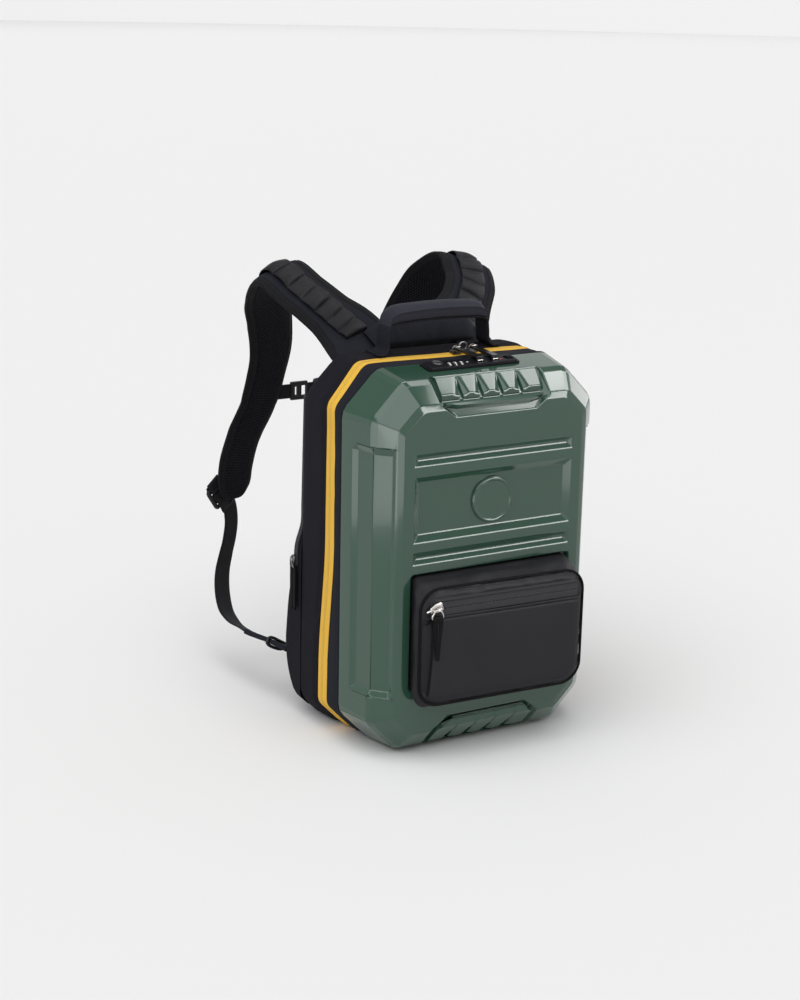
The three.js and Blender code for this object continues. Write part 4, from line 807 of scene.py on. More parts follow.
def makeRimBand():
    toZip = bag["zipWidth"] / 2
    loops = []
    for back, inset in rimBand["bead"] + rimBand["face"]:
        loops.append([(x, rimY + back, z) for x, z, s in rimOutline(inset)])
    for share in rimBand["middle"]:
        points = rimOutline(rimBand["middleInset"], zipAhead * share)
        loops.append([(x, rimY + 9 + share * (zipY(s) - rimY - toZip - 14), z) for x, z, s in points])
    for ahead, inset in rimBand["hem"]:
        points = rimOutline(inset, zipAhead)
        loops.append([(x, zipY(s) - toZip - 0.3 + ahead + lookUp(zipHem, s), z) for x, z, s in points])
    band = loft("rimBand", transposed(loops), ["strap"], ring=True, centreAt=9, angle=50)
    crease(band, 0.5, 26, 3.1, mask=lambda p: 1 if p.y > rimY + 9.5 else 0)
    settle(band, "trim", "rim_trim")
    # A near-black cord beside the shell: painted shade for the dark gap at the shell's edge
    gapShade = rimBand["gapShade"]
    line = [(x, rimY + gapShade["back"], z) for x, z, s in rimOutline(gapShade["inset"])]
    settle(tube("rimGapShade", line, gapShade["radius"], "dark", closed=True, sides=8), "trim")


# The closed main zip. Rows are (behind its middle, inset from the band's face).
zipSection = bothSides([
    (-12, 2.9), (-11.8, 2.4), (-7.5, 2.3), (-3.4, 2.35), (-2.3, 2.2), (-1.9, 1.35), (-1.0, 1.05), (0, 1.0),
]) + [(12, 4.4), (-12, 4.4)]


def makeMainZip():
    loops = []
    for back, inset in zipSection:
        points = rimOutline(inset, zipAhead + bag["zipWidth"] / 2 + back)
        loops.append([(x, zipY(s) + back, z) for x, z, s in points])
    settle(loft("mainZip", transposed(loops), ["zip"], ring=True, centreAt=7, angle=60), "zip", "main_zip")


# The soft body behind the zip: hem rows (behind the zip's edge, inset), then the sides, the round edge and the
# back. Each crease has its depth, size, seed and stretch. Slack gives where it starts and how far it takes to grow.
clothBody = {
    "hem": [(0.3, 4.2), (0.3, 2.6), (0.9, 1.6), (2.2, 1.2), (4.6, 1.1), (5.0, 1.6), (5.4, 1.0), (12.3, 0)],
    "sides": 8, "rounds": 8, "extraRound": 6, "creases": ((1.1, 90, 1.7, (1, 1, 1)), (0.5, 30, 5.2, (1, 1, 0.35))),
    "sideFrom": 12, "topSlack": 0.2,
    "slack": {"side": (150, 14), "front": (-46, 12), "rear": (-16, 8), "foot": (12, 30)},
}


def makeClothBody():
    start = bag["bodyDepth"] - bag["backRound"]
    extra = clothBody["extraRound"]
    first, hemEnd = zipBehind + clothBody["sideFrom"], clothBody["hem"][-1][0]
    loops = []
    for back, inset in clothBody["hem"]:
        points = rimOutline(inset, zipBehind + back)
        loops.append([(x, zipY(s) + bag["zipWidth"] / 2 + back - lookUp(zipHem, s), z) for x, z, s in points])
    for k in range(1, clothBody["sides"] + 1):
        share = k / clothBody["sides"]
        points = rimOutline(0, first + (start - first) * share, extra * share)
        loop = []
        for x, z, s in points:
            y0 = zipY(s) + bag["zipWidth"] / 2 + hemEnd
            loop.append((x, y0 + (rimY + start - leanAt(z) - y0) * share, z))
        loops.append(loop)
    for k in range(1, clothBody["rounds"] + 1):
        angle = k / clothBody["rounds"] * math.pi / 2
        points = rimOutline(bag["backRound"] * (1 - math.cos(angle)), start, extra)
        y = rimY + start + bag["backRound"] * math.sin(angle)
        loops.append([(x, y - leanAt(z), z) for x, z, s in points])
    body = loft("clothBody", loops, ["cloth"], angle=50)

    def openFront(work):
        # The front of the loft is open in the real bag, so its cap goes
        caps = [f for f in work.faces if len(f.verts) > 4 and f.calc_center_median().y < 0]
        bmesh.ops.delete(work, geom=caps, context="FACES_ONLY")

    def slack(p):
        # None where something lies on the body, or where the zip and the floor hold it
        share = 1
        for name, place in (("side", abs(p.x)), ("front", p.y), ("rear", -p.y), ("foot", p.z)):
            start, grow = clothBody["slack"][name]
            share *= share01((place - start) / grow)
        return share + clothBody["topSlack"] * (p.z > bodyTop - 2 and p.y < -32)

    rework(body.data, openFront)
    for depth, size, seed, stretch in clothBody["creases"]:
        crease(body, depth, size, seed, slack, stretch)
    settle(body, "cloth", "body")


# The mesh pad that wraps the lower back, with sewn channels down it. Rows are (height from the pad's foot, depth,
# tuck), with depth as a share of the bulge.
lumbar = {
    "top": 256, "bottom": 16, "bulge": 36, "front": 106, "round": 30, "channel": 2.4, "channelX": 78,
    "heights": 44, "clothSides": 8, "channelHalf": (7, 5), "swell": 1.2,
    "sideSteps": 7, "roundSteps": 9, "backSteps": 16,
}
lumbarRows = [
    (0, -0.1, 0), (0.08, 0.46, 0), (0.18, 0.86, 0), (0.32, 1.03, 0), (0.56, 0.86, 0),
    (0.77, 0.54, 0), (0.9, 0.3, 0.6), (0.96, 0.17, 2.6), (1, -0.05, 6),
]


def resample(points, count):
    lengths = [0.0]
    for a, b in zip(points, points[1:]):
        lengths.append(lengths[-1] + math.hypot(b[0] - a[0], b[1] - a[1]))
    made = []
    for k in range(count):
        at = lengths[-1] * k / (count - 1)
        made.append(tuple(lookUp(list(zip(lengths, [p[c] for p in points])), at) for c in (0, 1)))
    return made


def sideAt(z, back):
    return bag["width"] / 2 - bag["rimCutX"] * max(0, lowCut(back) - z / bag["rimCutZ"])


# The body's own outline in plan at a height, grown, from a place on its side round to its flat back
def bodyPlan(z, grow, fromY):
    start = rimY + bag["bodyDepth"] - bag["backRound"] - leanAt(z)
    side = sideAt(z, bag["bodyDepth"] - bag["backRound"])
    first = math.asin(min(max((fromY - start) / bag["backRound"], 0), 1))
    points = []
    for k in range(10):
        angle = first + (math.pi / 2 - first) * k / 9
        reach = bag["backRound"] + grow
        points.append((side - bag["backRound"] + reach * math.cos(angle), start + reach * math.sin(angle)))
    return points


def lumbarOuter(height, front, rear, depth, half):
    radius = min(lumbar["round"], (rear - front) * 0.8)
    steps = lumbar["sideSteps"]
    outer = [(half, front + (rear - radius - front) * k / steps) for k in range(steps)]
    for k in range(lumbar["roundSteps"]):
        angle = k / (lumbar["roundSteps"] - 1) * math.pi / 2
        outer.append((half - radius * (1 - math.cos(angle)), rear - radius + radius * math.sin(angle)))
    middle, side = lumbar["channelHalf"]
    for k in range(1, lumbar["backSteps"] + 1):
        x = (half - radius) * (1 - k / lumbar["backSteps"])
        dip = bump01(x / middle) + 0.8 * bump01((x - lumbar["channelX"]) / side)
        fold = lumbar["channel"] * dip * share01((height - 0.1) * 6) * share01((0.95 - height) * 6)
        swell = lumbar["swell"] * math.sin(math.pi * min(1, x / lumbar["channelX"]))
        outer.append((x, rear + swell * depth - fold))
    return outer


def makeLumbarPad():
    rows = []
    front = rimY + lumbar["front"]
    for height in [k / lumbar["heights"] for k in range(lumbar["heights"] + 1)]:
        depth, tuck = (softLook(column(lumbarRows, c), height, 0.04) for c in (1, 2))
        z = lumbar["bottom"] + (lumbar["top"] - lumbar["bottom"]) * height
        rear = backY - leanAt(z) + depth * lumbar["bulge"]
        outer = lumbarOuter(height, front, rear, depth, sideAt(z, lumbar["front"]) - tuck)
        wall = backY - leanAt(z) + 0.45
        inside = [(max(x, 0), y) for x, y in bodyPlan(z, 0.4, front)] + [(0, wall)]
        plan = bothSides([(x, y if x > 130 else max(y, wall + 0.3)) for x, y in outer])
        under = bothSides(resample(inside, 14))
        rows.append([(x, y, z) for x, y in plan + under[::-1]])
    sides, last = lumbar["clothSides"], len(plan)
    lookOf = lambda r, i: 1 if 0 <= i < sides or last - sides < i else 0
    pad = loft("lumbarPad", rows, ["mesh", "cloth"], lookOf=lookOf, centreAt=(last + 1) // 2, angle=60)
    settle(pad, "mesh", "lumbar_pad")


# The mesh pad over the shoulder blades, with a sewn channel down its middle and two across
upperPad = {
    "width": 222, "foot": 262, "top": 446, "thick": 11, "round": 26, "channel": 3.2, "channelZ": 44,
    "edge": [(0.97, 0.35), (1.0, 0.7), (1.0, 1.6)], "rings": 20, "corner": 8, "channelHalf": (6, 5), "crown": (5, 0.6),
}


def makeBackPad():
    half = upperPad["width"] / 2
    middle, tall = (upperPad["foot"] + upperPad["top"]) / 2, (upperPad["top"] - upperPad["foot"]) / 2

    def ringAt(share):
        points = []
        radius = upperPad["round"]
        for sx, sz, turn in ((1, 1, 0), (-1, 1, 90), (-1, -1, 180), (1, -1, 270)):
            for k in range(upperPad["corner"] + 1):
                angle = math.radians(turn + k * 90 / upperPad["corner"])
                x = sx * (half - radius) + radius * math.cos(angle)
                z = sz * (tall - radius) + radius * math.sin(angle)
                points.append((x * share, z * share))
        return points

    def thickAt(x, z, share):
        square, soft = upperPad["crown"]
        upright, level = upperPad["channelHalf"]
        crown = (1 - share ** square) ** soft
        dip = bump01(x / upright) + bump01((abs(z) - upperPad["channelZ"]) / level) * (abs(x) > upright)
        return 1.2 + (upperPad["thick"] - 1.4) * crown - upperPad["channel"] * min(dip, 1) * crown

    def rowAt(share, liftOf):
        return [(x, backY - leanAt(middle + z) + liftOf(x, z), middle + z) for x, z in ringAt(share)]

    rows = [rowAt(share, lambda x, z: lift) for share, lift in upperPad["edge"]]
    for k in range(1, upperPad["rings"]):
        share = math.sqrt(1 - k / upperPad["rings"]) if k > 2 else 1 - 0.012 * k
        rows.append(rowAt(share, lambda x, z: 0.35 + thickAt(x, z, share)))
    pad = loft("backPad", rows, ["mesh"], angle=70)
    flatMap(pad)
    settle(pad, "mesh", "back_pad")


# Lays the flat map straight on, from x and z, where a face looks forwards or back
def flatMap(piece):
    mesh = piece.data
    layer = mesh.uv_layers["cloth"]
    for polygon in mesh.polygons:
        if abs(polygon.normal.y) > 0.5:
            for loop in polygon.loop_indices:
                p = mesh.vertices[mesh.loops[loop].vertex_index].co
                layer.data[loop].uv = (p.x, p.z)


# A smooth line through points, as the model's own lines are
class Line:
    def __init__(self, points):
        self.points = [Vector(p) for p in points]

    def at(self, t):
        last = len(self.points) - 1
        i = min(int(t * last), last - 1)
        share = t * last - i
        b, c = self.points[i], self.points[i + 1]
        a = self.points[i - 1] if i > 0 else 2 * b - c
        d = self.points[i + 2] if i + 2 <= last else 2 * c - b
        g0, g1, g2 = (math.sqrt((q - p).length) for p, q in ((a, b), (b, c), (c, d)))
        g1 = g1 if g1 > 0.0001 else 1
        g0 = g0 if g0 > 0.0001 else g1
        g2 = g2 if g2 > 0.0001 else g1
        leave = ((b - a) / g0 - (c - a) / (g0 + g1) + (c - b) / g1) * g1
        arrive = ((c - b) / g1 - (d - b) / (g1 + g2) + (d - c) / g2) * g1
        square, cube = 3 * (c - b) - 2 * leave - arrive, 2 * (b - c) + leave + arrive
        return b + leave * share + square * share ** 2 + cube * share ** 3

    def heading(self, t):
        return (self.at(min(t + 0.0001, 1)) - self.at(max(t - 0.0001, 0))).normalized()


# Places along a line through points, each with its own across and out directions
def stationsOf(points, acrossAt, places):
    line = Line(points)
    stations = []
    for t in places:
        heading, across = line.heading(t), acrossAt(t)
        across = (across - heading * across.dot(heading)).normalized()
        stations.append({"centre": line.at(t), "across": across, "out": across.cross(heading), "t": t})
    return stations


def onStation(s, across, out):
    return s["centre"] + s["across"] * across + s["out"] * out


def evenly(count, start=0.0, end=1.0):
    return [start + (end - start) * k / (count - 1) for k in range(count)]


# hand is -1 for the bag's left side, whose pieces are mirror images, and 1 for its right
def mirrored(p, hand):
    return p if hand > 0 else Vector((-p.x, p.y, p.z))


sideNames = {-1: "Left", 1: "Right"}
nodeSides = {-1: "_left", 1: "_right"}


# A band along stations. sectionOf gives the points round it, as (across, out, number of its material), for a
# station and its number, and place moves a point to where it may be.
def band(name, stations, sectionOf, materials, hand=1, centreAt=3, angle=50, place=None):
    rows, marks = [], []
    for k, s in enumerate(stations):
        section = sectionOf(s, k)
        points = [onStation(s, a, b) for a, b, _ in section]
        rows.append([mirrored(place(p) if place else p, hand) for p in points])
        marks.append([look for _, _, look in section])
    return loft(name, rows, materials, lookOf=lambda r, i: marks[r][max(i, 0)], centreAt=centreAt, angle=angle)


# A flat strip's section, with soft edges and bow as the rise of its middle
def stripSection(width, thick, bow=0.0):
    half = width / 2
    places = [half - 0.7, half * 0.6, half * 0.3, 0, -half * 0.3, -half * 0.6, 0.7 - half]
    rise = lambda a: bow * (1 - (a / half) ** 2)
    top = [(a, thick / 2 + rise(a), 0) for a in places]
    under = [(a, rise(a) - thick / 2, 0) for a in reversed(places)]
    left = [(-half, thick * 0.22, 0), (-half, -thick * 0.22, 0)]
    right = [(half, -thick * 0.22, 0), (half, thick * 0.22, 0)]
    return top + left + under + right


# Thread along rows of places: each stitch is a small rounded bar. places are (point, heading, out), in
# millimetres.
stitch = {
    "ends": ((-0.5, 0.5), (-0.34, 1), (0.34, 1), (0.5, 0.5)),
    "section": ((-0.5, -0.4), (-0.42, 0.6), (0, 1), (0.42, 0.6), (0.5, -0.4)),
}


def stitches(name, places, look="binding", length=2.4, width=0.55, rise=0.28):
    points, faces = [], []
    around, last = len(stitch["section"]), len(stitch["ends"]) - 1
    for point, heading, out in places:
        side = heading.cross(out).normalized()
        base = len(points)
        for along, wide in stitch["ends"]:
            middle = point + heading * (along * length)
            for a, b in stitch["section"]:
                points.append((middle + side * (a * width * wide) + out * (b * rise * wide)) * mm)
        for r in range(last):
            for i in range(around):
                low, j = base + r * around, (i + 1) % around
                faces.append((low + i, low + j, low + around + j, low + around + i))
        faces += [tuple(base + r * around + i for i in range(around)) for r in (0, last)]
    mesh = bpy.data.meshes.new(name)
    mesh.from_pydata(points, [], faces)
    mesh.uv_layers.new(name="cloth")
    turnOut(mesh)
    settle(dress(name, mesh, [look], 60), "trim")


# Stitch places along a line of points, each with its out direction
def alongLine(points, outs, pitch=3.6):
    places, left = [], pitch / 2
    for k in range(len(points) - 1):
        step = points[k + 1] - points[k]
        if step.length < 0.001:
            continue
        at = left
        while at < step.length:
            share = at / step.length
            out = (outs[k] * (1 - share) + outs[k + 1] * share).normalized()
            places.append((points[k] + step * share, step.normalized(), out))
            at += pitch
        left = at - step.length
    return places


# The same where all of the line has one out direction
def alongFlat(points, out, pitch):
    return alongLine(points, [Vector(out)] * len(points), pitch)


# Shoulder straps. Rows: across as a share of half the bag's width, back of the reach, up of the rise over the
# body's top or of the drop under it, turn and lean of the width in degrees, width as a share, and then what
# the right strap adds to across, takes from up and adds to lean.
strap = {
    "width": 78, "thick": 13, "reach": 232, "rise": 84, "drop": 257, "edge": 2.5, "flatFrom": 1.35,
    "seam": 7.6, "dip": 0.8, "patch": 30, "stations": 128, "tipStations": 16, "tipFrom": 0.955,
    "stitchesOut": (5.0, -4.6), "places": (0, 1.5, 3.4, 5.2, 6.6, 8.6, 10.4, 13.5, 18, 24, 31), "crown": (3.4, 0.62),
    "inner": 0.46, "patchInner": 0.4, "tip": 0.22, "patchDip": 1.2,
}
strapRows = [
    (0.39, -0.07, -0.04, 0, 4, 1.36, 0.03, 0, 0), (0.445, 0.06, 0.13, -2, 8, 1.2, 0.07, 0.02, 0),
    (0.56, 0.17, 0.4, 0, 12, 0.97, 0.1, 0.04, 0), (0.7, 0.295, 0.7, 6, 14, 0.97, 0.1, 0.03, 0),
    (0.815, 0.43, 0.96, 15, 16, 1, 0.02, 0.05, 3), (0.765, 0.645, 0.55, 17, 12, 1, 0.01, -0.07, 9),
    (0.67, 0.76, 0.12, 18, 5, 1, 0.025, -0.05, 5), (0.588, 0.865, -0.17, 19, 0, 0.98, 0.02, 0, 0),
    (0.59, 0.93, -0.32, 20, -5, 0.94, 0, 0, 0), (0.638, 0.965, -0.48, 20, -9, 0.88, 0, 0, 0),
    (0.745, 0.985, -0.64, 20, -9, 0.86, 0, 0, 0), (0.82, 0.99, -0.8, 20, -7, 0.84, 0, 0, 0),
    (0.845, 0.985, -0.93, 20, -4, 0.8, 0, 0, 0), (0.84, 0.98, -1, 20, -2, 0.78, 0, 0, 0),
]


def strapStations(hand, places):
    points, looksOver = [], []
    for across, back, up, turn, lean, wide, sway, drop, tip in strapRows:
        if hand > 0:
            across, up, lean = across + sway, up - drop, lean + tip
        reach = strap["drop"] if up < 0 else strap["rise"]
        points.append((across * bag["width"] / 2, backY + back * strap["reach"], bodyTop + up * reach))
        looksOver.append((turn, lean, wide))
    sides = Line(looksOver)

    def acrossAt(t):
        turn, lean = (math.radians(v) for v in sides.at(t)[:2])
        return Vector((math.cos(lean) * math.cos(turn), -math.cos(lean) * math.sin(turn), -math.sin(lean)))

    stations = stationsOf(points, acrossAt, places)
    for s in stations:
        s["width"] = strap["width"] * sides.at(s["t"])[2]
    return stations


# Keeps a point outside the body's top and back, which is round between them
def clearOfBody(p, gap=0.5):
    lean = leanAt(p.z)
    y0, z0 = rimY + bag["bodyDepth"] - bag["backRound"] - lean, bodyTop - bag["backRound"]
    if p.z <= z0:
        return Vector((p.x, max(p.y, backY - lean + gap), p.z))
    if p.y <= y0:
        return Vector((p.x, p.y, max(p.z, bodyTop + gap)))
    away = Vector((0, p.y - y0, p.z - z0))
    if away.length < bag["backRound"] + gap:
        away = away.normalized() * (bag["backRound"] + gap)
    return Vector((p.x, y0 + away.y, z0 + away.z))


# A pad's section: outer face, left edge, inner face, right edge. Materials 0 outer, 1 inner, 2 edge tape.
def padSection(half, thick, edge, patch=False):
    flat, base = half - edge * strap["flatFrom"], edge * 0.93
    narrow = min(1, (flat - 1) / 33)
    seam = strap["seam"] * narrow
    inside = sorted([v * narrow for v in strap["places"]] + [seam])
    places = [flat - d for d in inside] + [0] + [d - flat for d in reversed(inside)]

    def face(a, rise):
        square, soft = strap["crown"]
        b = base + (rise - base) * (1 - min(abs(a) / flat, 1) ** square) ** soft
        return b - strap["dip"] * narrow * max(0, 1 - ((flat - abs(a) - seam) / 1.3) ** 2)

    def side(look, flip, rise):
        middles = [(p + q) / 2 for p, q in zip(places, places[1:] + places[-1:])]
        looksOver = [2 if flat - abs(m) < seam else look for m in middles]
        return [(a * flip, face(a, rise) * flip, mark) for a, mark in zip(places, looksOver)]

    def around(way, angles):
        turns = [math.radians(v) for v in angles]
        return [(way * (half - edge) + edge * math.cos(v), edge * math.sin(v), 2) for v in turns]

    outer, inner = side(0, 1, thick / 2), side(1, -1, thick * strap["patchInner" if patch else "inner"])
    left, right = around(-1, (90, 120, 150, 180, 210, 240, 270)), around(1, (270, 300, 330, 0, 30, 60, 90))
    return outer + left + inner + right


def roundEnd(share):
    # From 0 at a tip to 1, as a quarter of a circle
    return math.sqrt(1 - (1 - share) ** 2)


def makeStrapPad(hand):
    tipFrom = strap["tipFrom"]
    places = evenly(strap["stations"], 0, tipFrom) + evenly(strap["tipStations"], tipFrom + 0.003, 1)
    stations = strapStations(hand, places)
    last = stations[-1]

    def sectionOf(s, k):
        left = (s["centre"] - last["centre"]).length
        rounded = roundEnd(min(left / (last["width"] / 2), 1))
        width = s["width"] * (strap["tip"] + (1 - strap["tip"]) * rounded)
        seat = min(1, 0.45 + s["t"] * 9)
        thick = strap["thick"] * seat * (0.42 + 0.58 * roundEnd(min(left / 7, 1)))
        seam = bump01((left - strap["patch"]) / 1.6)
        thick -= seam * strap["patchDip"]
        return padSection(width / 2, thick, strap["edge"], patch=left < strap["patch"])

    materials = ["strap", "mesh", "binding"]
    pad = band("strapPad" + sideNames[hand], stations, sectionOf, materials, hand, 12, 60, clearOfBody)
    crease(pad, 0.7, 34, 2.3 * hand, stretch=(1.6, 1, 1))
    settle(pad, "cloth", "strap_pad" + nodeSides[hand])
    sewn = stations[6:-18]
    rows = []
    for side in (-1, 1):
        for out in strap["stitchesOut"]:
            points = []
            for s in sewn:
                across = s["width"] / 2 - strap["edge"] * strap["flatFrom"] - strap["seam"]
                points.append(mirrored(s["centre"] + s["across"] * side * across + s["out"] * out, hand))
            outs = [mirrored(s["out"], hand) for s in sewn]
            rows += alongLine(points, outs if out > 0 else [-o for o in outs])
    stitches("strapStitches" + sideNames[hand], rows)


# The folded webbing on a strap's outer face, sewn down between its folds. lean tips each fold towards the bag.
folds = {
    "width": 35, "thick": 2.2, "lift": 6.6, "count": 7, "start": 0.06, "end": 0.335, "lean": 0.62, "round": 0.55,
    "bow": 0.7, "stations": 126, "tacks": 29, "tackPitch": 1.15, "tackFrom": -16, "twist": 0.5, "twistSize": 22,
    "uneven": 0.2, "flat": 19, "sink": 0.75,
}


def makeStrapWebbing(hand):
    stations = strapStations(hand, evenly(folds["stations"], folds["start"], folds["end"]))
    seat = strap["thick"] / 2 + 0.3 + folds["thick"] / 2
    reach = folds["end"] - folds["start"]

    def liftAt(s):
        share = (s["t"] - folds["start"]) / reach * folds["count"]
        hump = abs(math.sin(math.pi * (share % 1.0) ** folds["lean"])) ** folds["round"]
        return folds["lift"] * hump * (1 - folds["uneven"] + folds["uneven"] * math.cos(2.1 * share))

    def sectionOf(s, k):
        raised = liftAt(s)
        twist = folds["twist"] * wander(*s["centre"], folds["twistSize"], 4.0 * hand)
        ripple = 0.78 + 0.12 * twist
        bend = lambda a: raised * (ripple + 0.22 * math.cos(a / 7 + 3 * twist))
        return [
            (a, b + seat - folds["sink"] + bend(a) + twist * a / folds["flat"], m)
            for a, b, m in stripSection(folds["width"], folds["thick"], folds["bow"])
        ]

    piece = band("strapFolds" + sideNames[hand], stations, sectionOf, ["satin"], hand)
    settle(piece, "webbing", "strap_webbing" + nodeSides[hand])
    tacks = []
    for n in range(folds["count"] + 1):
        t = folds["start"] + reach * min(max(n / folds["count"], 0.006), 0.994)
        s = strapStations(hand, [t])[0]
        heading = s["across"].cross(s["out"]).normalized()
        for m in range(folds["tacks"]):
            a = folds["tackFrom"] + folds["tackPitch"] * m
            point = onStation(s, a, seat + folds["thick"] / 2 - 0.05 - folds["bow"] * (a / folds["flat"]) ** 2)
            tacks.append(tuple(mirrored(p, hand) for p in (point, heading, s["out"])))
    stitches("strapTacks" + sideNames[hand], tacks, length=2.2, width=0.8, rise=0.4)


# The cloth that joins the straps behind the handle. Section points are (back, up) from the body's top edge.
yoke = {
    "left": -60, "right": 94, "back": 130, "fold": 27, "height": 28, "steps": 90, "pleat": 6.5, "pleatBack": 2.6,
    "sag": 2.6, "shear": 0.28,
    "section": [
        (-9, -2), (-8, 3), (-4, 12), (0.5, 21), (4.5, 26.5), (8, 28),
        (11, 25.5), (12, 19), (11.5, 8), (11, -4), (10.5, -18), (6, -18),
    ],
}


def makeYoke():
    rows = []
    for at in evenly(yoke["steps"], -1, 1):
        x = yoke["left"] + (at + 1) / 2 * (yoke["right"] - yoke["left"])
        low = 1 - 0.6 * abs(at) ** 5
        pleat = abs(((x / yoke["fold"] + 0.3 * math.sin(x / 31)) % 1) - 0.42) ** 0.8
        loop = []
        for back, up in yoke["section"]:
            high = max(0, up) / yoke["height"]
            push = (pleat * yoke["pleat"] - yoke["pleatBack"]) * high
            sag = yoke["sag"] * math.sin(x / 23 + 1) * high
            y = rimY + yoke["back"] + back - push
            loop.append((x + (up * yoke["shear"] - 3) * math.sin(x / 40), y, bodyTop + up * low - sag))
        rows.append(loop)
    piece = loft("strapYoke", rows, ["strap"], centreAt=10, angle=70)
    crease(piece, 1.3, 17, 9.1, stretch=(1.5, 1, 0.6))
    settle(piece, "cloth")


# The buckles at the pads' low ends and the webbing that hangs from them. Rows: across as a share of half the bag's
# width, back of the straps' reach, height as a share, and lean in degrees.
locker = {"thick": 5, "tilt": 32, "across": 20, "up": 11}
lowerWeb = {
    "width": 25, "thick": 2.4, "top": 222, "stations": 170, "tabWidth": 28, "tabThick": 4.4, "tabStations": 26,
    "seams": (2, 8), "loopAt": 15, "loopRadius": 2.1,
}
lowerWebRows = [
    (0.864, 1.022, 0.964, 0), (0.852, 1.017, 0.869, 0), (0.876, 1.004, 0.766, 0), (0.923, 0.983, 0.667, 0),
    (0.976, 0.948, 0.572, 0), (1.012, 0.901, 0.491, 3), (1.036, 0.845, 0.423, 8), (1.053, 0.776, 0.369, 14),
    (1.059, 0.698, 0.342, 20), (1.059, 0.621, 0.329, 25), (1.047, 0.517, 0.329, 28), (1.047, 0.44, 0.331, 28),
]
# The webbing in the buckle, as (out, up) from the buckle's middle: its loose end, then over the middle bar. The tab
# comes from under the pad's patch, turns over the buckle's upper bar and goes back.
lockRun = [
    (5.4, -13), (4.6, -9), (4.0, -5), (3.1, 2.4), (0, 4.3), (-3.1, 2.4), (-4.0, -5), (-4.0, -14), (-2.6, -23),
]
lockTab = {
    "width": 0.96, "thick": 2, "stations": 60,
    "run": [
        (-4.6, 25), (-4.5, 21), (-4.4, 16), (-3.6, 10.4), (0, 9.4),
        (3.5, 11.2), (4.2, 16), (1.6, 19), (-1.6, 21), (-2.6, 24.5),
    ],
}


def lockFrame():
    end = strapStations(1, [1.0])[0]
    seat = onStation(end, locker["across"], strap["thick"] / 2 + locker["thick"] / 2 + 3)
    seat += Vector((0, 0, locker["up"]))
    across = Matrix.Rotation(math.radians(locker["tilt"]), 3, end["out"]) @ end["across"]
    return seat, across, end["out"], across.cross(end["out"]), end["across"]


def makeLowerWebbing():
    seat, across, out, up, level = lockFrame()
    points = [seat + out * a + up * b for a, b in lockRun]
    sides = [across for _ in lockRun]
    for k, (x, back, high, lean) in enumerate(lowerWebRows):
        points.append(Vector((x * bag["width"] / 2, backY + back * strap["reach"], high * lowerWeb["top"])))
        t, angle = (k + 1) / len(lowerWebRows), math.radians(lean)
        flat = across.lerp(level, min(t * 8, 1)).lerp(Vector((1, 0, 0)), max(t * 1.6 - 0.6, 0)).normalized()
        sides.append(flat * math.cos(angle) + Vector((0, 0, math.sin(angle))))
    stations = stationsOf(points, Line(sides).at, evenly(lowerWeb["stations"]))
    length = sum((b["centre"] - a["centre"]).length for a, b in zip(stations, stations[1:]))
    tabPoints = [seat + out * a + up * b for a, b in lockTab["run"]]
    tabRun = stationsOf(tabPoints, lambda t: across.copy(), evenly(lockTab["stations"]))
    for hand in (-1, 1):
        side, node = sideNames[hand], nodeSides[hand]
        strip = lambda s, k: stripSection(lowerWeb["width"], lowerWeb["thick"])
        piece = band("lowerWebbing" + side, stations, strip, ["webbing"], hand)
        settle(piece, "webbing", "lower_webbing" + node)
        makeLowerTab(stations, hand)
        strip = lambda s, k: stripSection(lowerWeb["width"] * lockTab["width"], lockTab["thick"])
        settle(band("lockTab" + side, tabRun, strip, ["webbing"], hand), "webbing", "lock_tab" + node)
        eased("ladder_lock" + node, "plastic", "plastic", 0.0011)


def makeLowerTab(stations, hand):
    end, before = stations[-1], stations[-2]
    heading = (end["centre"] - before["centre"]).normalized()
    start = end["centre"] + heading * 2.4
    seat = Vector((bag["width"] / 2 - 12, backY + lumbar["bulge"] - 22, start.z))
    middle = start.lerp(seat, 0.5) + Vector((0, 0, 1.5))
    run = stationsOf([start, middle, seat], lambda t: end["across"].copy(), evenly(lowerWeb["tabStations"]))

    def sectionOf(s, k):
        fold = 1 - 0.3 * bump01((k - 9) / 2)
        return stripSection(lowerWeb["tabWidth"], lowerWeb["tabThick"] * 1.5 * fold, 0.5)

    tab = band("lowerTab" + sideNames[hand], run, sectionOf, ["strap"], hand)
    settle(tab, "webbing", "lower_tab" + nodeSides[hand])
    rows = []
    for s in (run[k] for k in lowerWeb["seams"]):
        line = [onStation(s, a, 2.3 + 0.5 * (1 - (a / 14) ** 2)) for a in evenly(12, -11, 11)]
        rows += alongFlat([mirrored(p, hand) for p in line], mirrored(s["out"], hand), 2.8)
    stitches("tabStitches" + sideNames[hand], rows)
    s = run[lowerWeb["loopAt"]]
    wide, thick = lowerWeb["tabWidth"] / 2 + 1.2, lowerWeb["tabThick"] * 0.75 + 0.7
    corners = [(-wide, -thick), (wide, -thick), (wide, thick), (-wide, thick)]
    loop = [mirrored(onStation(s, a, b), hand) for a, b in corners]
    settle(tube("tabLoop" + sideNames[hand], loop, lowerWeb["loopRadius"], "plastic", closed=True), "plastic")


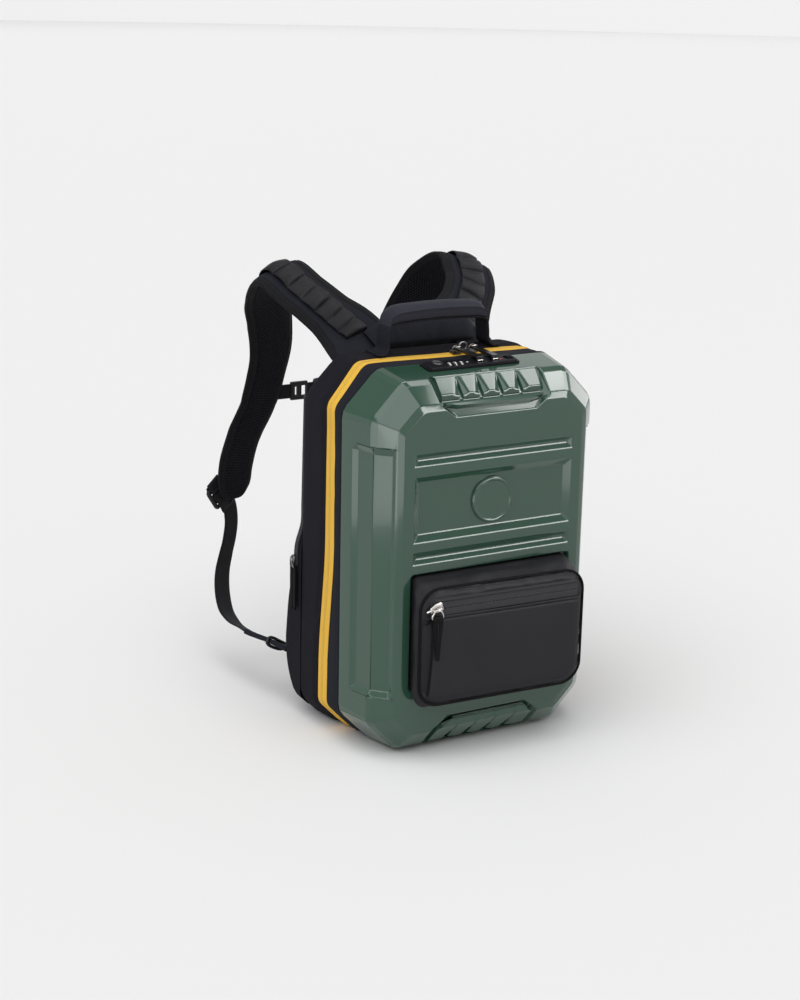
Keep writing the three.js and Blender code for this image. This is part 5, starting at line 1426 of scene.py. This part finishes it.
# The front pocket. Rows: out as a share of its bulge, half as a share of half its width, low and high as shares
# of its height over its bottom, and the round of its corners.
pocket = {
    "bulge": 34, "width": 226, "height": 147, "bottom": 82, "round": 26, "skew": 6, "piping": 1.7, "pipingAt": 0.85,
    "zipZ": 206, "zipHeight": 18, "foldX": -98, "foldDepth": 7.5, "lip": 1.5, "sink": 1.5, "swell": 0.9,
    "side": [-0.23, -0.12, 0.0, 0.08, 0.18, 0.28, 0.38, 0.48, 0.57, 0.65, 0.72, 0.78, 0.82, 0.85],
    "steps": (26, 18, 9), "seam": 4.6, "seamTo": 96, "edgeRound": 12, "hem": (1.4, 2.2), "hemSeam": (4.6, 0.9, 0.55),
    "foldSway": (7, 2.5),
}
pocketRows = [
    (-0.23, 0.993, 0.084, 1.077, 8), (0.02, 0.993, 0.084, 1.077, 8), (0.45, 1.035, -0.05, 1.05, 20),
    (0.85, 1, 0, 1, 26), (0.96, 0.965, 0.03, 0.97, 24),
]
pocketHalf = pocket["width"] / 2
pocketTop = pocket["bottom"] + pocket["height"]
zipLow, zipHigh = pocket["zipZ"] - pocket["zipHeight"] / 2, pocket["zipZ"] + pocket["zipHeight"] / 2


def roundRect(half, low, high, radius):
    across, tall, corner = pocket["steps"]
    points = [(half, low + radius + (high - low - 2 * radius) * k / tall) for k in range(tall)]
    right, left, top, foot = half - radius, radius - half, high - radius, low + radius
    turns = [(right, top, 0, across), (left, top, 90, tall), (left, foot, 180, across), (right, foot, 270, 0)]

    def onCorner(n, turn):
        angle = math.radians(turn)
        return turns[n][0] + radius * math.cos(angle), turns[n][1] + radius * math.sin(angle)

    for n, (x, z, turn, steps) in enumerate(turns):
        points += [onCorner(n, turn + 90 * k / corner) for k in range(corner)]
        if steps:
            (x0, z0), (x1, z1) = onCorner(n, turn + 90), onCorner(n + 1, turns[n + 1][2])
            points += [(x0 + (x1 - x0) * k / steps, z0 + (z1 - z0) * k / steps) for k in range(steps)]
    return points


def pocketLoop(out, proud=0.0, ahead=0.0, reach=0.04):
    half, low, high, radius = (softLook(column(pocketRows, c), out, reach) for c in (1, 2, 3, 4))
    half = half * pocket["width"] / 2 + proud
    low = pocket["bottom"] + low * pocket["height"] - proud
    high = pocket["bottom"] + high * pocket["height"] + proud
    y = frontY - out * pocket["bulge"] - ahead
    skew = lambda x: -pocket["skew"] * max(out, 0) * x / pocketHalf
    return [(x, y + skew(x), z) for x, z in roundRect(half, low, high, max(radius + proud, 2))]


# How far the front stands out, in millimetres, at a place on it
def pocketFront(x, z):
    low, high, radius = pocket["bottom"], pocketTop, pocket["round"]
    dx, dz = pocketHalf - radius - abs(x), (high - low) / 2 - radius - abs(z - (low + high) / 2)
    edge = radius - math.hypot(min(dx, 0), min(dz, 0)) if dx < 0 and dz < 0 else radius + min(dx, dz)
    rounded = 1 - (1 - min(max(edge, 0) / pocket["edgeRound"], 1)) ** 2.4
    out = pocket["bulge"] * (pocket["pipingAt"] + (1 - pocket["pipingAt"]) * rounded)
    swell = math.cos(x / pocketHalf * math.pi / 2) * math.sin(share01((z - low) / (high - low)) * math.pi)
    out += pocket["swell"] * swell
    inside = min(max(edge - 3, 0) / 4, 1)
    if zipLow < z < zipHigh:
        return out - pocket["sink"] * inside
    away = zipLow - z if z <= zipLow else z - zipHigh
    (at, reach), (seamAt, seamReach, dip) = pocket["hem"], pocket["hemSeam"]
    hem = bump01((away - at) / reach) - dip * bump01((away - seamAt) / seamReach)
    return out + pocket["lip"] * hem * inside


def skewAt(x, out):
    return -pocket["skew"] * out / pocket["bulge"] * x / pocketHalf


def foldX(z):
    # The left edge of the front panel, behind which the side folds in
    share = share01((z - pocket["bottom"]) / (pocket["zipZ"] - pocket["bottom"]))
    low, high = pocket["foldSway"]
    return pocket["foldX"] - low * (1 - share) ** 2.2 - high * share ** 4


def makePocket():
    side = loft("pocketSide", [pocketLoop(v) for v in pocket["side"]], ["coated"], angle=60)
    loose = lambda p: 1 if p.y < frontY - 6 else 0
    crease(side, 2.2, 42, 6.4, loose)
    crease(side, 1.5, 15, 2.1, loose, (1, 0.5, 1))
    settle(side, "coated", "pocket_body")
    makePocketPanel()
    makePocketPiping()
    makePocketZip()
    makePocketPull()


# The panel's rows are closer at its edges, the hems and the zip, and its places closer at the fold
panel = {
    "inset": 0.4, "edge": (0, 0.7, 1.6, 3, 5, 8, 12, 17), "hem": (0.12, 0.5, 1.2, 2.2, 3.2, 4.0, 4.6, 5.2),
    "topEdge": (6.5, 4.6, 3, 1.6, 0.7, 0), "left": (0, 0.1, 0.25, 0.45, 0.65, 0.85, 1),
    "right": (6, 4, 2.6, 1.4, 0.6, 0), "fold": (-0.7, -0.1, 0.4, 1.4, 3.2, 6), "rear": 0.8, "rearWidth": 0.985,
    "foldTop": 14, "foldFoot": (6, 16), "foldLip": 1.1, "foldShare": 0.45,
}


def panelHeights(low, high):
    heights = [low + v for v in panel["edge"]]
    heights += evenly(20, low + 22, zipLow - 8)
    heights += [zipLow - 6.2] + [zipLow - v for v in reversed(panel["hem"])] + [zipLow + 0.25]
    heights += evenly(5, zipLow + 2.5, zipHigh - 2.5)
    heights += [zipHigh - 0.25] + [zipHigh + v for v in panel["hem"]]
    return heights + [high - v for v in panel["topEdge"] if high - v > heights[-1] + 0.5]


def panelPoint(x, z, low, wide, fold, hasFold):
    out = pocketFront(x, z)
    skew = skewAt(x, out)
    if z < zipLow:
        start, grow = panel["foldFoot"]
        share = share01((zipLow - z) / panel["foldTop"]) * share01((z - low - start) / grow)
        if x >= fold:
            out += panel["foldLip"] * share * bump01((x - fold - 1) / 2.4)
        elif hasFold:
            least = panel["foldShare"]
            depth = least + (1 - least) * share01((x + wide) / max(fold + wide, 1)) ** 1.5
            out -= pocket["foldDepth"] * share * depth * min(1, (x + wide) / 2.5)
    return x, frontY - out + skew, z


def makePocketPanel():
    half, low, high = pocketHalf - panel["inset"], pocket["bottom"] + panel["inset"], pocketTop - panel["inset"]
    radius = pocket["round"]
    loops = []
    for z in panelHeights(low, high):
        over = max(low + radius - z, z - (high - radius), 0)
        wide = half - radius + math.sqrt(max(radius ** 2 - over ** 2, 0.4))
        fold = max(foldX(z), -wide + 2.5)
        hasFold = z < zipLow and -wide + 2.5 < foldX(z)
        places = [-wide + (fold - 1.6 + wide) * v for v in panel["left"]] + [fold + v for v in panel["fold"]]
        places += evenly(38, fold + 9, wide - 9) + [wide - v for v in panel["right"]]
        row = [panelPoint(x, z, low, wide, fold, hasFold) for x in places]
        # The edge turns back behind the piping, and the sheet closes on its own rear face
        rear = frontY - pocket["bulge"] * panel["rear"]
        backs = [
            (x * panel["rearWidth"], rear - pocket["skew"] * panel["rear"] * x / pocketHalf, z)
            for x, y, z in reversed(row)
        ]
        loops.append(row + backs)
    piece = loft("pocketPanel", loops, ["coated"], angle=50)
    flatMap(piece)
    crease(piece, 0.5, 55, 8.8)
    crease(piece, 2.0, 13, 4.4, lambda p: share01((p.z - zipHigh - 4) / 4), (1, 1, 0.6))
    settle(piece, "coated")
    rows = []
    for level in (zipLow - pocket["seam"], zipHigh + pocket["seam"]):
        line = []
        for x in evenly(40, foldX(level) + 8, pocket["seamTo"]):
            out = pocketFront(x, level)
            line.append(Vector((x, frontY - out - 0.05 + skewAt(x, out), level)))
        rows += alongFlat(line, (0, -1, 0), 3.3)
    stitches("pocketStitches", rows, "trim", 2.3, 0.5, 0.3)


def makePocketPiping():
    loops = []
    for k in range(12):
        angle = k / 12 * 2 * math.pi
        out = pocket["piping"] + 0.3 + pocket["piping"] * math.cos(angle)
        loops.append(pocketLoop(pocket["pipingAt"], out, pocket["piping"] * math.sin(angle), 0.0))
    settle(loft("pocketPiping", transposed(loops), ["dark"], ring=True, angle=80), "coated", "pocket_piping")


def onPocket(x, y, z):
    # From the front face's own frame, which turns with the pocket's skew
    turn = -math.atan2(pocket["skew"], pocketHalf)
    return Vector((
        x * math.cos(turn) - y * math.sin(turn),
        x * math.sin(turn) + y * math.cos(turn) + frontY - pocket["bulge"],
        z + pocket["zipZ"],
    ))


# The pocket's zip, its slider with a bridge and a pin, its ring, and the pull that hangs from the ring. tape is
# (up, out), and the slider's outline, bridge and pin are along the slider, the ring (across, up). The pull's rows
# are (share of its length, thickness, half its width).
tapeHalf = [(-8.8, -0.3), (-8.7, 0.25), (-5, 0.4), (-1.2, 0.55), (-0.45, 0.5), (0, 0.0)]
sliderHalf = [(6.8, 1.6), (6.8, 3.6), (4.5, 4.9), (0, 4.6), (-3.5, 3.2), (-6.4, 2.5)]
pocketZip = {
    "tape": bothSides(tapeHalf) + [(8.8, -1.1), (-8.8, -1.1)],
    "from": -103, "to": 104, "x": -97.0, "out": -0.6, "up": 2.5, "tilt": 16, "grow": 1.3, "growOut": 1.15,
    "outline": sliderHalf + [(a, -b) for a, b in reversed(sliderHalf)],
    "levels": [(0.1, 0.93), (0.7, 1.0), (2.4, 1.0), (3.1, 0.9), (3.3, 0.72)],
    "bridge": [(-4.6, 2.9), (-4.4, 5.0), (-2.8, 6.3), (0, 6.6), (2.8, 6.2), (4.4, 4.9), (4.7, 2.9)],
    "bridgeRadius": 0.95, "pin": [(-6.0, 1.6), (-8.2, 1.7), (-10.6, 1.8)], "pinRadius": 1.5, "ringRadius": 1.2,
    "ring": [
        (-3.4, -1.2), (-5.6, -6.8), (-5.4, -9.4), (-3.4, -10.6), (3.4, -10.6), (5.4, -9.4), (5.6, -6.8), (3.4, -1.2),
        (0, 0.4),
    ],
}
pocketPull = {
    "rows": [
        (-0.06, 0.5, 6.6), (0.0, 1.7, 6.9), (0.1, 1.3, 7.1), (0.16, 0.8, 6.9),
        (0.55, 0.6, 4.6), (0.85, 0.55, 2.9), (0.97, 0.5, 2.1), (1.0, 0.25, 1.2),
    ],
    "thick": 1.9, "length": 56, "top": -9.6, "across": 0.6, "drift": 3.2, "out": 5.9, "lean": 0.55,
    "stitches": (0.13, 0.18, 0.23, 0.3, 0.37, 0.44, 0.51), "groove": (0.35, 0.72, 0.08), "steps": 46, "places": 9,
}


def makePocketZip():
    z = pocketZip
    rows = []
    for x in evenly(60, z["from"], z["to"]):
        rows.append([onPocket(x, -(b + 0.2) + 0.9, a + 0.12 * wander(x, a, 0, 12)) for a, b in z["tape"]])
    settle(loft("pocketZip", rows, ["darkZip"], centreAt=5, angle=60), "zip", "pocket_zip")
    tilt = math.radians(z["tilt"])

    def at(u, out, v=0):
        u, v, out = u * z["grow"], v * z["grow"], out * z["growOut"]
        up = z["up"] + u * math.sin(tilt) + v * math.cos(tilt)
        return onPocket(z["x"] + u * math.cos(tilt) - v * math.sin(tilt), z["out"] - out, up)

    rows = [[at(u * share, out, v * share) for u, v in z["outline"]] for out, share in z["levels"]]
    settle(loft("pocketSlider", rows, ["metal"], angle=45), "metal", "pocket_slider")
    for name, radius in (("bridge", z["bridgeRadius"]), ("pin", z["pinRadius"])):
        settle(tube("pocket" + name.title(), [at(u, out) for u, out in z[name]], radius, "metal"), "metal")
    points = [onPocket(z["x"] + 0.6 + u * 1.3, z["out"] - 5.8 - 0.1 * v, v + 0.5) for u, v in z["ring"]]
    settle(tube("pocketRing", points, z["ringRadius"], "metal", closed=True), "metal", "pocket_ring")


def makePocketPull():
    p = pocketPull
    x0, y0 = pocketZip["x"], pocketZip["out"]
    placeAt = lambda share: (
        x0 + p["across"] + p["drift"] * max(share, 0),
        y0 - p["out"] * (1 - p["lean"] * max(share, 0)),
        p["top"] - share * p["length"],
    )
    rows = []
    count, (deep, grooveAt, grooveHalf) = p["places"], p["groove"]
    for share in evenly(p["steps"], p["rows"][0][0], 1.0):
        thick = lookUp(column(p["rows"], 1), share) * p["thick"]
        wide = softLook(column(p["rows"], 2), share, 0.02)
        x, y, z = placeAt(share)
        y += 0.5 * math.sin(3 * share)
        groove = [1 - deep * bump01((abs(a) - grooveAt) / grooveHalf) for a in evenly(count, -1, 1)]
        front = [
            onPocket(x + a * wide, y - thick * g * 0.5 * (1 - 0.25 * a ** 4), z)
            for a, g in zip(evenly(count, -0.96, 0.96), groove)
        ]
        rear = [onPocket(x + a * wide, y + thick * 0.5, z) for a in evenly(count, 0.96, -0.96)]
        rows.append(front + [onPocket(x + wide, y, z)] + rear + [onPocket(x - wide, y, z)])
    settle(loft("pocketPull", rows, ["dark"], angle=50), "coated", "pocket_pull")
    marks = []
    for share in p["stitches"]:
        x, y, z = placeAt(share)
        marks.append((onPocket(x, y - 0.75, z), Vector((0, 0, -1)), Vector((0, -1, 0))))
    stitches("pullStitches", marks, "trim", 2.4, 0.7, 0.35)


# A round bar along points, with rounded ends, or a ring where closed
def tube(name, points, radius, look, closed=False, sides=12):
    points = [Vector(p) for p in points]
    line = Line(points + points[:1] if closed else points)
    steps = max(len(points) * 6, 24)
    places = [k / steps for k in range(steps)] if closed else evenly(steps)
    middles = [line.at(t) for t in places]
    headings = [line.heading(t) for t in places]
    side = headings[0].orthogonal().normalized()
    angles = [2 * math.pi * i / sides for i in range(sides)]
    rows = []
    for middle, heading in zip(middles, headings):
        side = (side - heading * side.dot(heading)).normalized()
        up = heading.cross(side)
        tip = min((middle - middles[0]).length, (middle - middles[-1]).length) / radius
        share = 1 if closed else 0.5 + 0.5 * roundEnd(min(tip * 2, 1))
        rows.append([middle + (side * math.cos(a) + up * math.sin(a)) * radius * share for a in angles])
    return loft(name, rows, [look], ring=closed, angle=60)


# The carrying handle. Rows: inward from a foot's middle, and up as a share of the rise. Grip rows: place, width and
# thickness as shares.
handle = {
    "span": 148, "rise": 65, "width": 31, "back": 72, "web": 2.4, "grip": 142, "gripThick": 19,
    "stations": 150, "gripSteps": 72, "seam": 0.497, "seamHalf": 54, "boxOut": 9, "boxIn": 6, "boxHalf": 12,
    "flare": 4, "flareUp": 10, "groove": (0.8, 0.93), "grooveThick": 0.8, "pitch": 3.4, "boxPitch": 2.8,
}
handleRows = [(-15, 0), (-5, 0), (0, 0.12), (1.5, 0.5), (4, 0.8), (12, 0.88), (40, 0.93), (74, 0.95)]
gripRows = [(0, 1.1, 1), (0.3, 1.1, 1), (0.42, 1.08, 0.95), (0.47, 1.04, 0.8), (0.5, 0.9, 0.5)]
gripSection = [
    (-0.86, 0.02), (-0.97, 0.08), (-1, 0.2), (-1, 0.42), (-1.0, 0.56), (-1.03, 0.61), (-1.03, 0.67),
    (-0.97, 0.71), (-0.9, 0.75), (-0.78, 0.86), (-0.55, 0.96), (-0.3, 1.01), (0, 1.03),
]


def makeHandle():
    y = rimY + handle["back"]
    foot = bodyTop + 0.3 + handle["web"] / 2
    rise = handle["rise"] - handle["gripThick"] - 0.6 - 1.5 * handle["web"]
    half = [(handle["span"] / 2 - inward, y, foot + up * rise) for inward, up in handleRows]
    points = half + [(-x, a, b) for x, a, b in reversed(half[:-1])]
    stations = stationsOf(points, lambda t: Vector((0, 1, 0)), evenly(handle["stations"]))

    def sectionOf(s, k):
        reach, (low, high) = handle["flareUp"], handle["groove"]
        width = handle["width"] + handle["flare"] * share01((foot + reach - s["centre"].z) / reach)
        thickAt = lambda a: handle["grooveThick"] if low < abs(a) / (width / 2) < high else 1
        return [(a, b * thickAt(a), m) for a, b, m in stripSection(width, handle["web"])]

    settle(band("handleWebbing", stations, sectionOf, ["strap"]), "webbing", "handle_webbing")
    heights = sorted((s["centre"].x, s["centre"].z) for s in stations if s["centre"].z > foot + 0.3 * rise)
    makeGrip(y, heights)
    threads = []
    for side in (-1, 1):
        reach = handle["seamHalf"]
        edge = y + side * handle["width"] * handle["seam"]
        line = [
            Vector((x, edge, lookUp(heights, x) + 1.5 + 0.49 * handle["gripThick"])) for x in evenly(40, -reach, reach)
        ]
        threads += alongFlat(line, (0, side, 0), handle["pitch"])
        # A sewn box on each foot
        outer, inner = (side * (handle["span"] / 2 + v) for v in (handle["boxOut"], -handle["boxIn"]))
        near, far = y - handle["boxHalf"], y + handle["boxHalf"]
        for a, b, c, d in ((outer, near, inner, near), (outer, far, inner, far),
                           (outer, near, outer, far), (inner, near, inner, far)):
            ends = [Vector((x, y1, foot + 1.25)) for x, y1 in ((a, b), (c, d))]
            threads += alongFlat(ends, (0, 0, 1), handle["boxPitch"])
    stitches("handleStitches", threads)


def makeGrip(y, heights):
    whole = bothSides(gripSection) + [(0.5, 0), (0, 0), (-0.5, 0)]
    rows = []
    for at in evenly(handle["gripSteps"], -0.5, 0.5):
        wide, thick = (softLook(column(gripRows, c), abs(at), 0.02) for c in (1, 2))
        thick *= 0.55 + 0.45 * roundEnd(min((0.5 - abs(at)) / 0.02, 1))
        x = at * handle["grip"]
        seat = lookUp(heights, x) + handle["web"] / 2 + 0.3
        rows.append([(x, y + a * wide * handle["width"] / 2, seat + b * thick * handle["gripThick"]) for a, b in whole])
    grip = loft("handleGrip", rows, ["trim"], centreAt=12, angle=45)
    crease(grip, 0.5, 20, 7.7, stretch=(1, 0.6, 1))
    settle(grip, "cloth", "handle_grip")


# The combination lock, in the frame of the shell's sloping top: x across, y to the back, z out. The plug's joint
# stands square on the lock, so its axis gives the frame's tilt.
lock = {
    "height": 4.2, "dialRadius": 6.5, "dialPitch": 8.5, "dialsX": -24, "dialsY": -3, "dialSink": 1.2,
    "plugX": -45, "plugY": 4, "plugAt": (-45, -98.311, 484.145), "plugAxis": (0.137937, 0.990441),
    "plugRing": 6.1, "ringRadius": 0.45, "markX": 15.5, "markLong": 3.2, "markWide": 1.7,
}
figures = {"size": 5.4, "rise": 0.09, "bold": 0.14, "steps": 3, "lift": 0.04, "offset": 3}
lockBodies = ("first_dial", "second_dial", "third_dial")


def onLock(x, y, z):
    tilt = math.atan2(*lock["plugAxis"])
    dx, dy = x - lock["plugX"], y - lock["plugY"]
    rise = z - lock["height"] * 0.4 - 0.3
    away = (dx, dy * math.cos(tilt) - rise * math.sin(tilt), dy * math.sin(tilt) + rise * math.cos(tilt))
    return Vector(lock["plugAt"]) + Vector(away)


def makeLock():
    eased("lock_housing", "lockPlastic", "plastic", 0.0005, angle=25)
    for n, body in enumerate(lockBodies):
        eased("dial_%d" % (n + 1), "plastic", "plastic", 0.0004, 2, body=body)
        makeDigits(n, body)
    for node, look, slot, body in (
        ("key_plug", "gunmetal", "gunmetal", "key_plug"),
        ("release_button", "lockPlastic", "plastic", "release_button"),
        ("indicator_dot", "red", "red", "bag"),
    ):
        eased(node, look, slot, 0.0003, 2, body=body)
    turns = [k * math.pi / 8 for k in range(16)]
    x, y, reach = lock["plugX"], lock["plugY"], lock["plugRing"]
    points = [onLock(x + reach * math.cos(a), y + reach * math.sin(a), lock["height"] + 0.1) for a in turns]
    settle(tube("plugRing", points, lock["ringRadius"], "gunmetal", closed=True, sides=8), "metal")
    # A plain wedge that points at the dials' reading line
    x, y = lock["dialsX"] + lock["markX"], lock["dialsY"]
    corners = ((x, y), (x + lock["markLong"], y + lock["markWide"]), (x + lock["markLong"], y - lock["markWide"]))
    wedge = [[onLock(a, b, lock["height"] + z) for a, b in corners] for z in (-0.1, 0.12)]
    settle(loft("readingMark", wedge, ["digits"], angle=30), "plastic")


# Plain figures round a dial, each laid on its rim
def makeDigits(n, body):
    middle = Vector((lock["dialsX"] + (n - 1) * lock["dialPitch"], lock["dialsY"], -lock["dialSink"]))
    points, faces = [], []
    for digit in range(10):
        curve = bpy.data.curves.new("figure", "FONT")
        curve.body = str((digit + figures["offset"] * n) % 10)
        curve.size = figures["size"]
        curve.align_x, curve.align_y = "CENTER", "CENTER"
        curve.extrude = figures["rise"]
        curve.offset = figures["bold"]
        curve.resolution_u = figures["steps"]
        figure = linked("figure", curve)
        shape = figure.evaluated_get(bpy.context.evaluated_depsgraph_get()).to_mesh()
        base = len(points)
        for vertex in shape.vertices:
            x, y, z = vertex.co
            turn = digit * 2 * math.pi / 10 + y / lock["dialRadius"]
            reach = lock["dialRadius"] + figures["lift"] + z
            up, out = reach * math.sin(turn), reach * math.cos(turn)
            points.append(onLock(middle.x + x, middle.y + up, middle.z + out) * mm)
        faces += [tuple(base + i for i in polygon.vertices) for polygon in shape.polygons]
        figure.to_mesh_clear()
        bpy.data.objects.remove(figure)
        bpy.data.curves.remove(curve)
    name = "dialFigures%d" % (n + 1)
    mesh = bpy.data.meshes.new(name)
    mesh.from_pydata(points, [], faces)
    turnOut(mesh)
    settle(dress(name, mesh, ["digits"], 30), "plastic", body=body)


# The main zip's sliders, their bridges and rings, and the two pulls whose tips sit in the lock. arch is (across, up)
# from a slider's top, and link (across, back, up), where the last two points are at the pull's own top.
mainPulls = {
    "arch": bothSides([(-5.6, -1.4), (-5.4, 1.6), (-3.4, 3.9), (0, 4.7)]), "archRadius": 0.9,
    "link": [(-2.6, 0.6, 1.4), (2.6, 0.6, 1.4), (3.2, -6.5, 0.5), (-3.2, -6.5, 0.5)], "linkRadius": 0.7,
    "ring": (6.2, 0.88, 5.4), "ringX": 5, "ringUp": 3.2, "ringRadius": 1.15,
}


def makeMainPulls():
    for node, look, slot in (
        ("main_slider", "gunmetal", "gunmetal"), ("main_pull", "pull", "plastic"), ("main_pull_tip", "metal", "metal"),
    ):
        for side in ("_left", "_right"):
            eased(node + side, look, slot, 0.0005)
    for side in ("left", "right"):
        low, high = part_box("main_slider_" + side)
        x, y, z = (low.x + high.x) / 2 / mm, (low.y + high.y) / 2 / mm, high.z / mm
        arch = [(x + u, y + 0.4 * u, z + v) for u, v in mainPulls["arch"]]
        settle(tube("sliderBridge" + side.title(), arch, mainPulls["archRadius"], "gunmetal"), "gunmetal")
        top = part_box("main_pull_" + side)[1].z / mm
        link = [(x + a, y + b, (z if b > 0 else top) + c) for a, b, c in mainPulls["link"]]
        settle(tube("pullLink" + side.title(), link, mainPulls["linkRadius"], "metal", closed=True), "metal")
    low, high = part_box("main_slider_left")
    x = (low.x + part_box("main_slider_right")[0].x) / 2 / mm + mainPulls["ringX"]
    y, z = (low.y + high.y) / 2 / mm, high.z / mm + mainPulls["ringUp"]
    a, b, c = mainPulls["ring"]
    turns = [k * math.pi / 6 for k in range(12)]
    circle = [(x + a * math.cos(t), y + b * math.cos(t), z + c * math.sin(t)) for t in turns]
    settle(tube("joiningRing", circle, mainPulls["ringRadius"], "gunmetal", closed=True), "gunmetal")


# The zip on the left side and its slider and pulls. Rows are (height, out, back), and the other lists as for the
# pocket's zip. A loop is (out, back, up) from the slider's face for the front pull, and back is mirrored for the rear.
sideHalf = [(6.2, 1.4), (5.4, 3.4), (0, 3.9), (-4.4, 2.6), (-6, 2.2)]
sideZip = {
    "back": 119, "rows": [(432, -5, 0), (360, -5, 0), (290, -5, 0), (262, -5.2, 1), (234, 0.6, 3.6), (206, 1.1, 5.2)],
    "tape": bothSides([(4.5, 0.4), (4.1, 1.1), (2.4, 1.0), (1.9, 0.5), (0.9, 0.7), (0, 0.8)]) + [(-4.5, -1), (4.5, -1)],
    "outline": sideHalf + [(a, -b) for a, b in reversed(sideHalf)],
    "levels": [(0, 0.92), (0.5, 1), (2.2, 1), (2.8, 0.86)],
    "arch": [(4.6, 2.6), (4.0, 4.6), (1.6, 5.6), (-1.6, 5.6), (-4.0, 4.6), (-4.6, 2.6)], "archRadius": 0.8,
    "loop": [(4.4, 0.6, -2.0), (4.2, 3.4, -5.4), (3.2, 4.4, -9.6), (3.0, 1.8, -9.8)], "loopRadius": 0.6,
}


def makeSideZip():
    lineY = rimY + sideZip["back"]
    points = [(-bag["width"] / 2 - out, lineY + back - leanAt(z), z) for z, out, back in sideZip["rows"]]
    tilt, upright = Vector((0.35, 1, 0)), Vector((0, 1, 0))
    stations = stationsOf(points, lambda t: tilt.lerp(upright, t).normalized(), evenly(90))
    # out of the bag is against the stations' own out direction on this side
    sign = -1 if stations[0]["out"].x > 0 else 1
    section = [(a, sign * b, 0) for a, b in sideZip["tape"]]
    tape = band("sideZip", stations, lambda s, k: section, ["darkZip"], centreAt=5, angle=60)
    settle(tape, "zip", "side_zip")
    low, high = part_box("side_slider")
    face, y, z = high.x / mm, (low.y + high.y) / 2 / mm, (low.z + high.z) / 2 / mm
    outlineAt = lambda out, share: [(face - out, y + b * share, z + a * share) for a, b in sideZip["outline"]]
    rows = [outlineAt(out, share) for out, share in sideZip["levels"]]
    settle(loft("sideSlider", rows, ["gunmetal"], angle=45), "metal", "side_slider")
    arch = [(face - out, y, z + a) for a, out in sideZip["arch"]]
    settle(tube("sideBridge", arch, sideZip["archRadius"], "gunmetal"), "metal")
    for name, way in (("Front", -1), ("Rear", 1)):
        loop = [(face - out, y + way * back, z + up) for out, back, up in sideZip["loop"]]
        settle(tube("sideLoop" + name, loop, sideZip["loopRadius"], "gunmetal", closed=True, sides=8), "metal")
        eased("side_pull_" + name.lower(), "dark", "plastic", 0.0007)


# The chest strap
def makeChestStrap():
    for node, look, width in (
        ("adjuster_left", "plastic", 0.0009), ("adjuster_right", "plastic", 0.0009), ("clasp", "plastic", 0.0009),
        ("web_outer_left", "webbing", 0.0005), ("web_outer_right", "webbing", 0.0005),
        ("web_inner_left", "webbing", 0.0005), ("web_inner_right", "webbing", 0.0005),
    ):
        eased("sternum_" + node, look, look, width)


makeShell()
makeRimBand()
makeMainZip()
makeClothBody()
makeLumbarPad()
makeBackPad()
print("shell, band, zip, body and back pads")
makeYoke()
for hand in (-1, 1):
    makeStrapPad(hand)
    makeStrapWebbing(hand)
makeLowerWebbing()
makeChestStrap()
print("straps")
makePocket()
makeHandle()
makeLock()
makeMainPulls()
makeSideZip()
print("pocket, handle, lock and zip pulls")
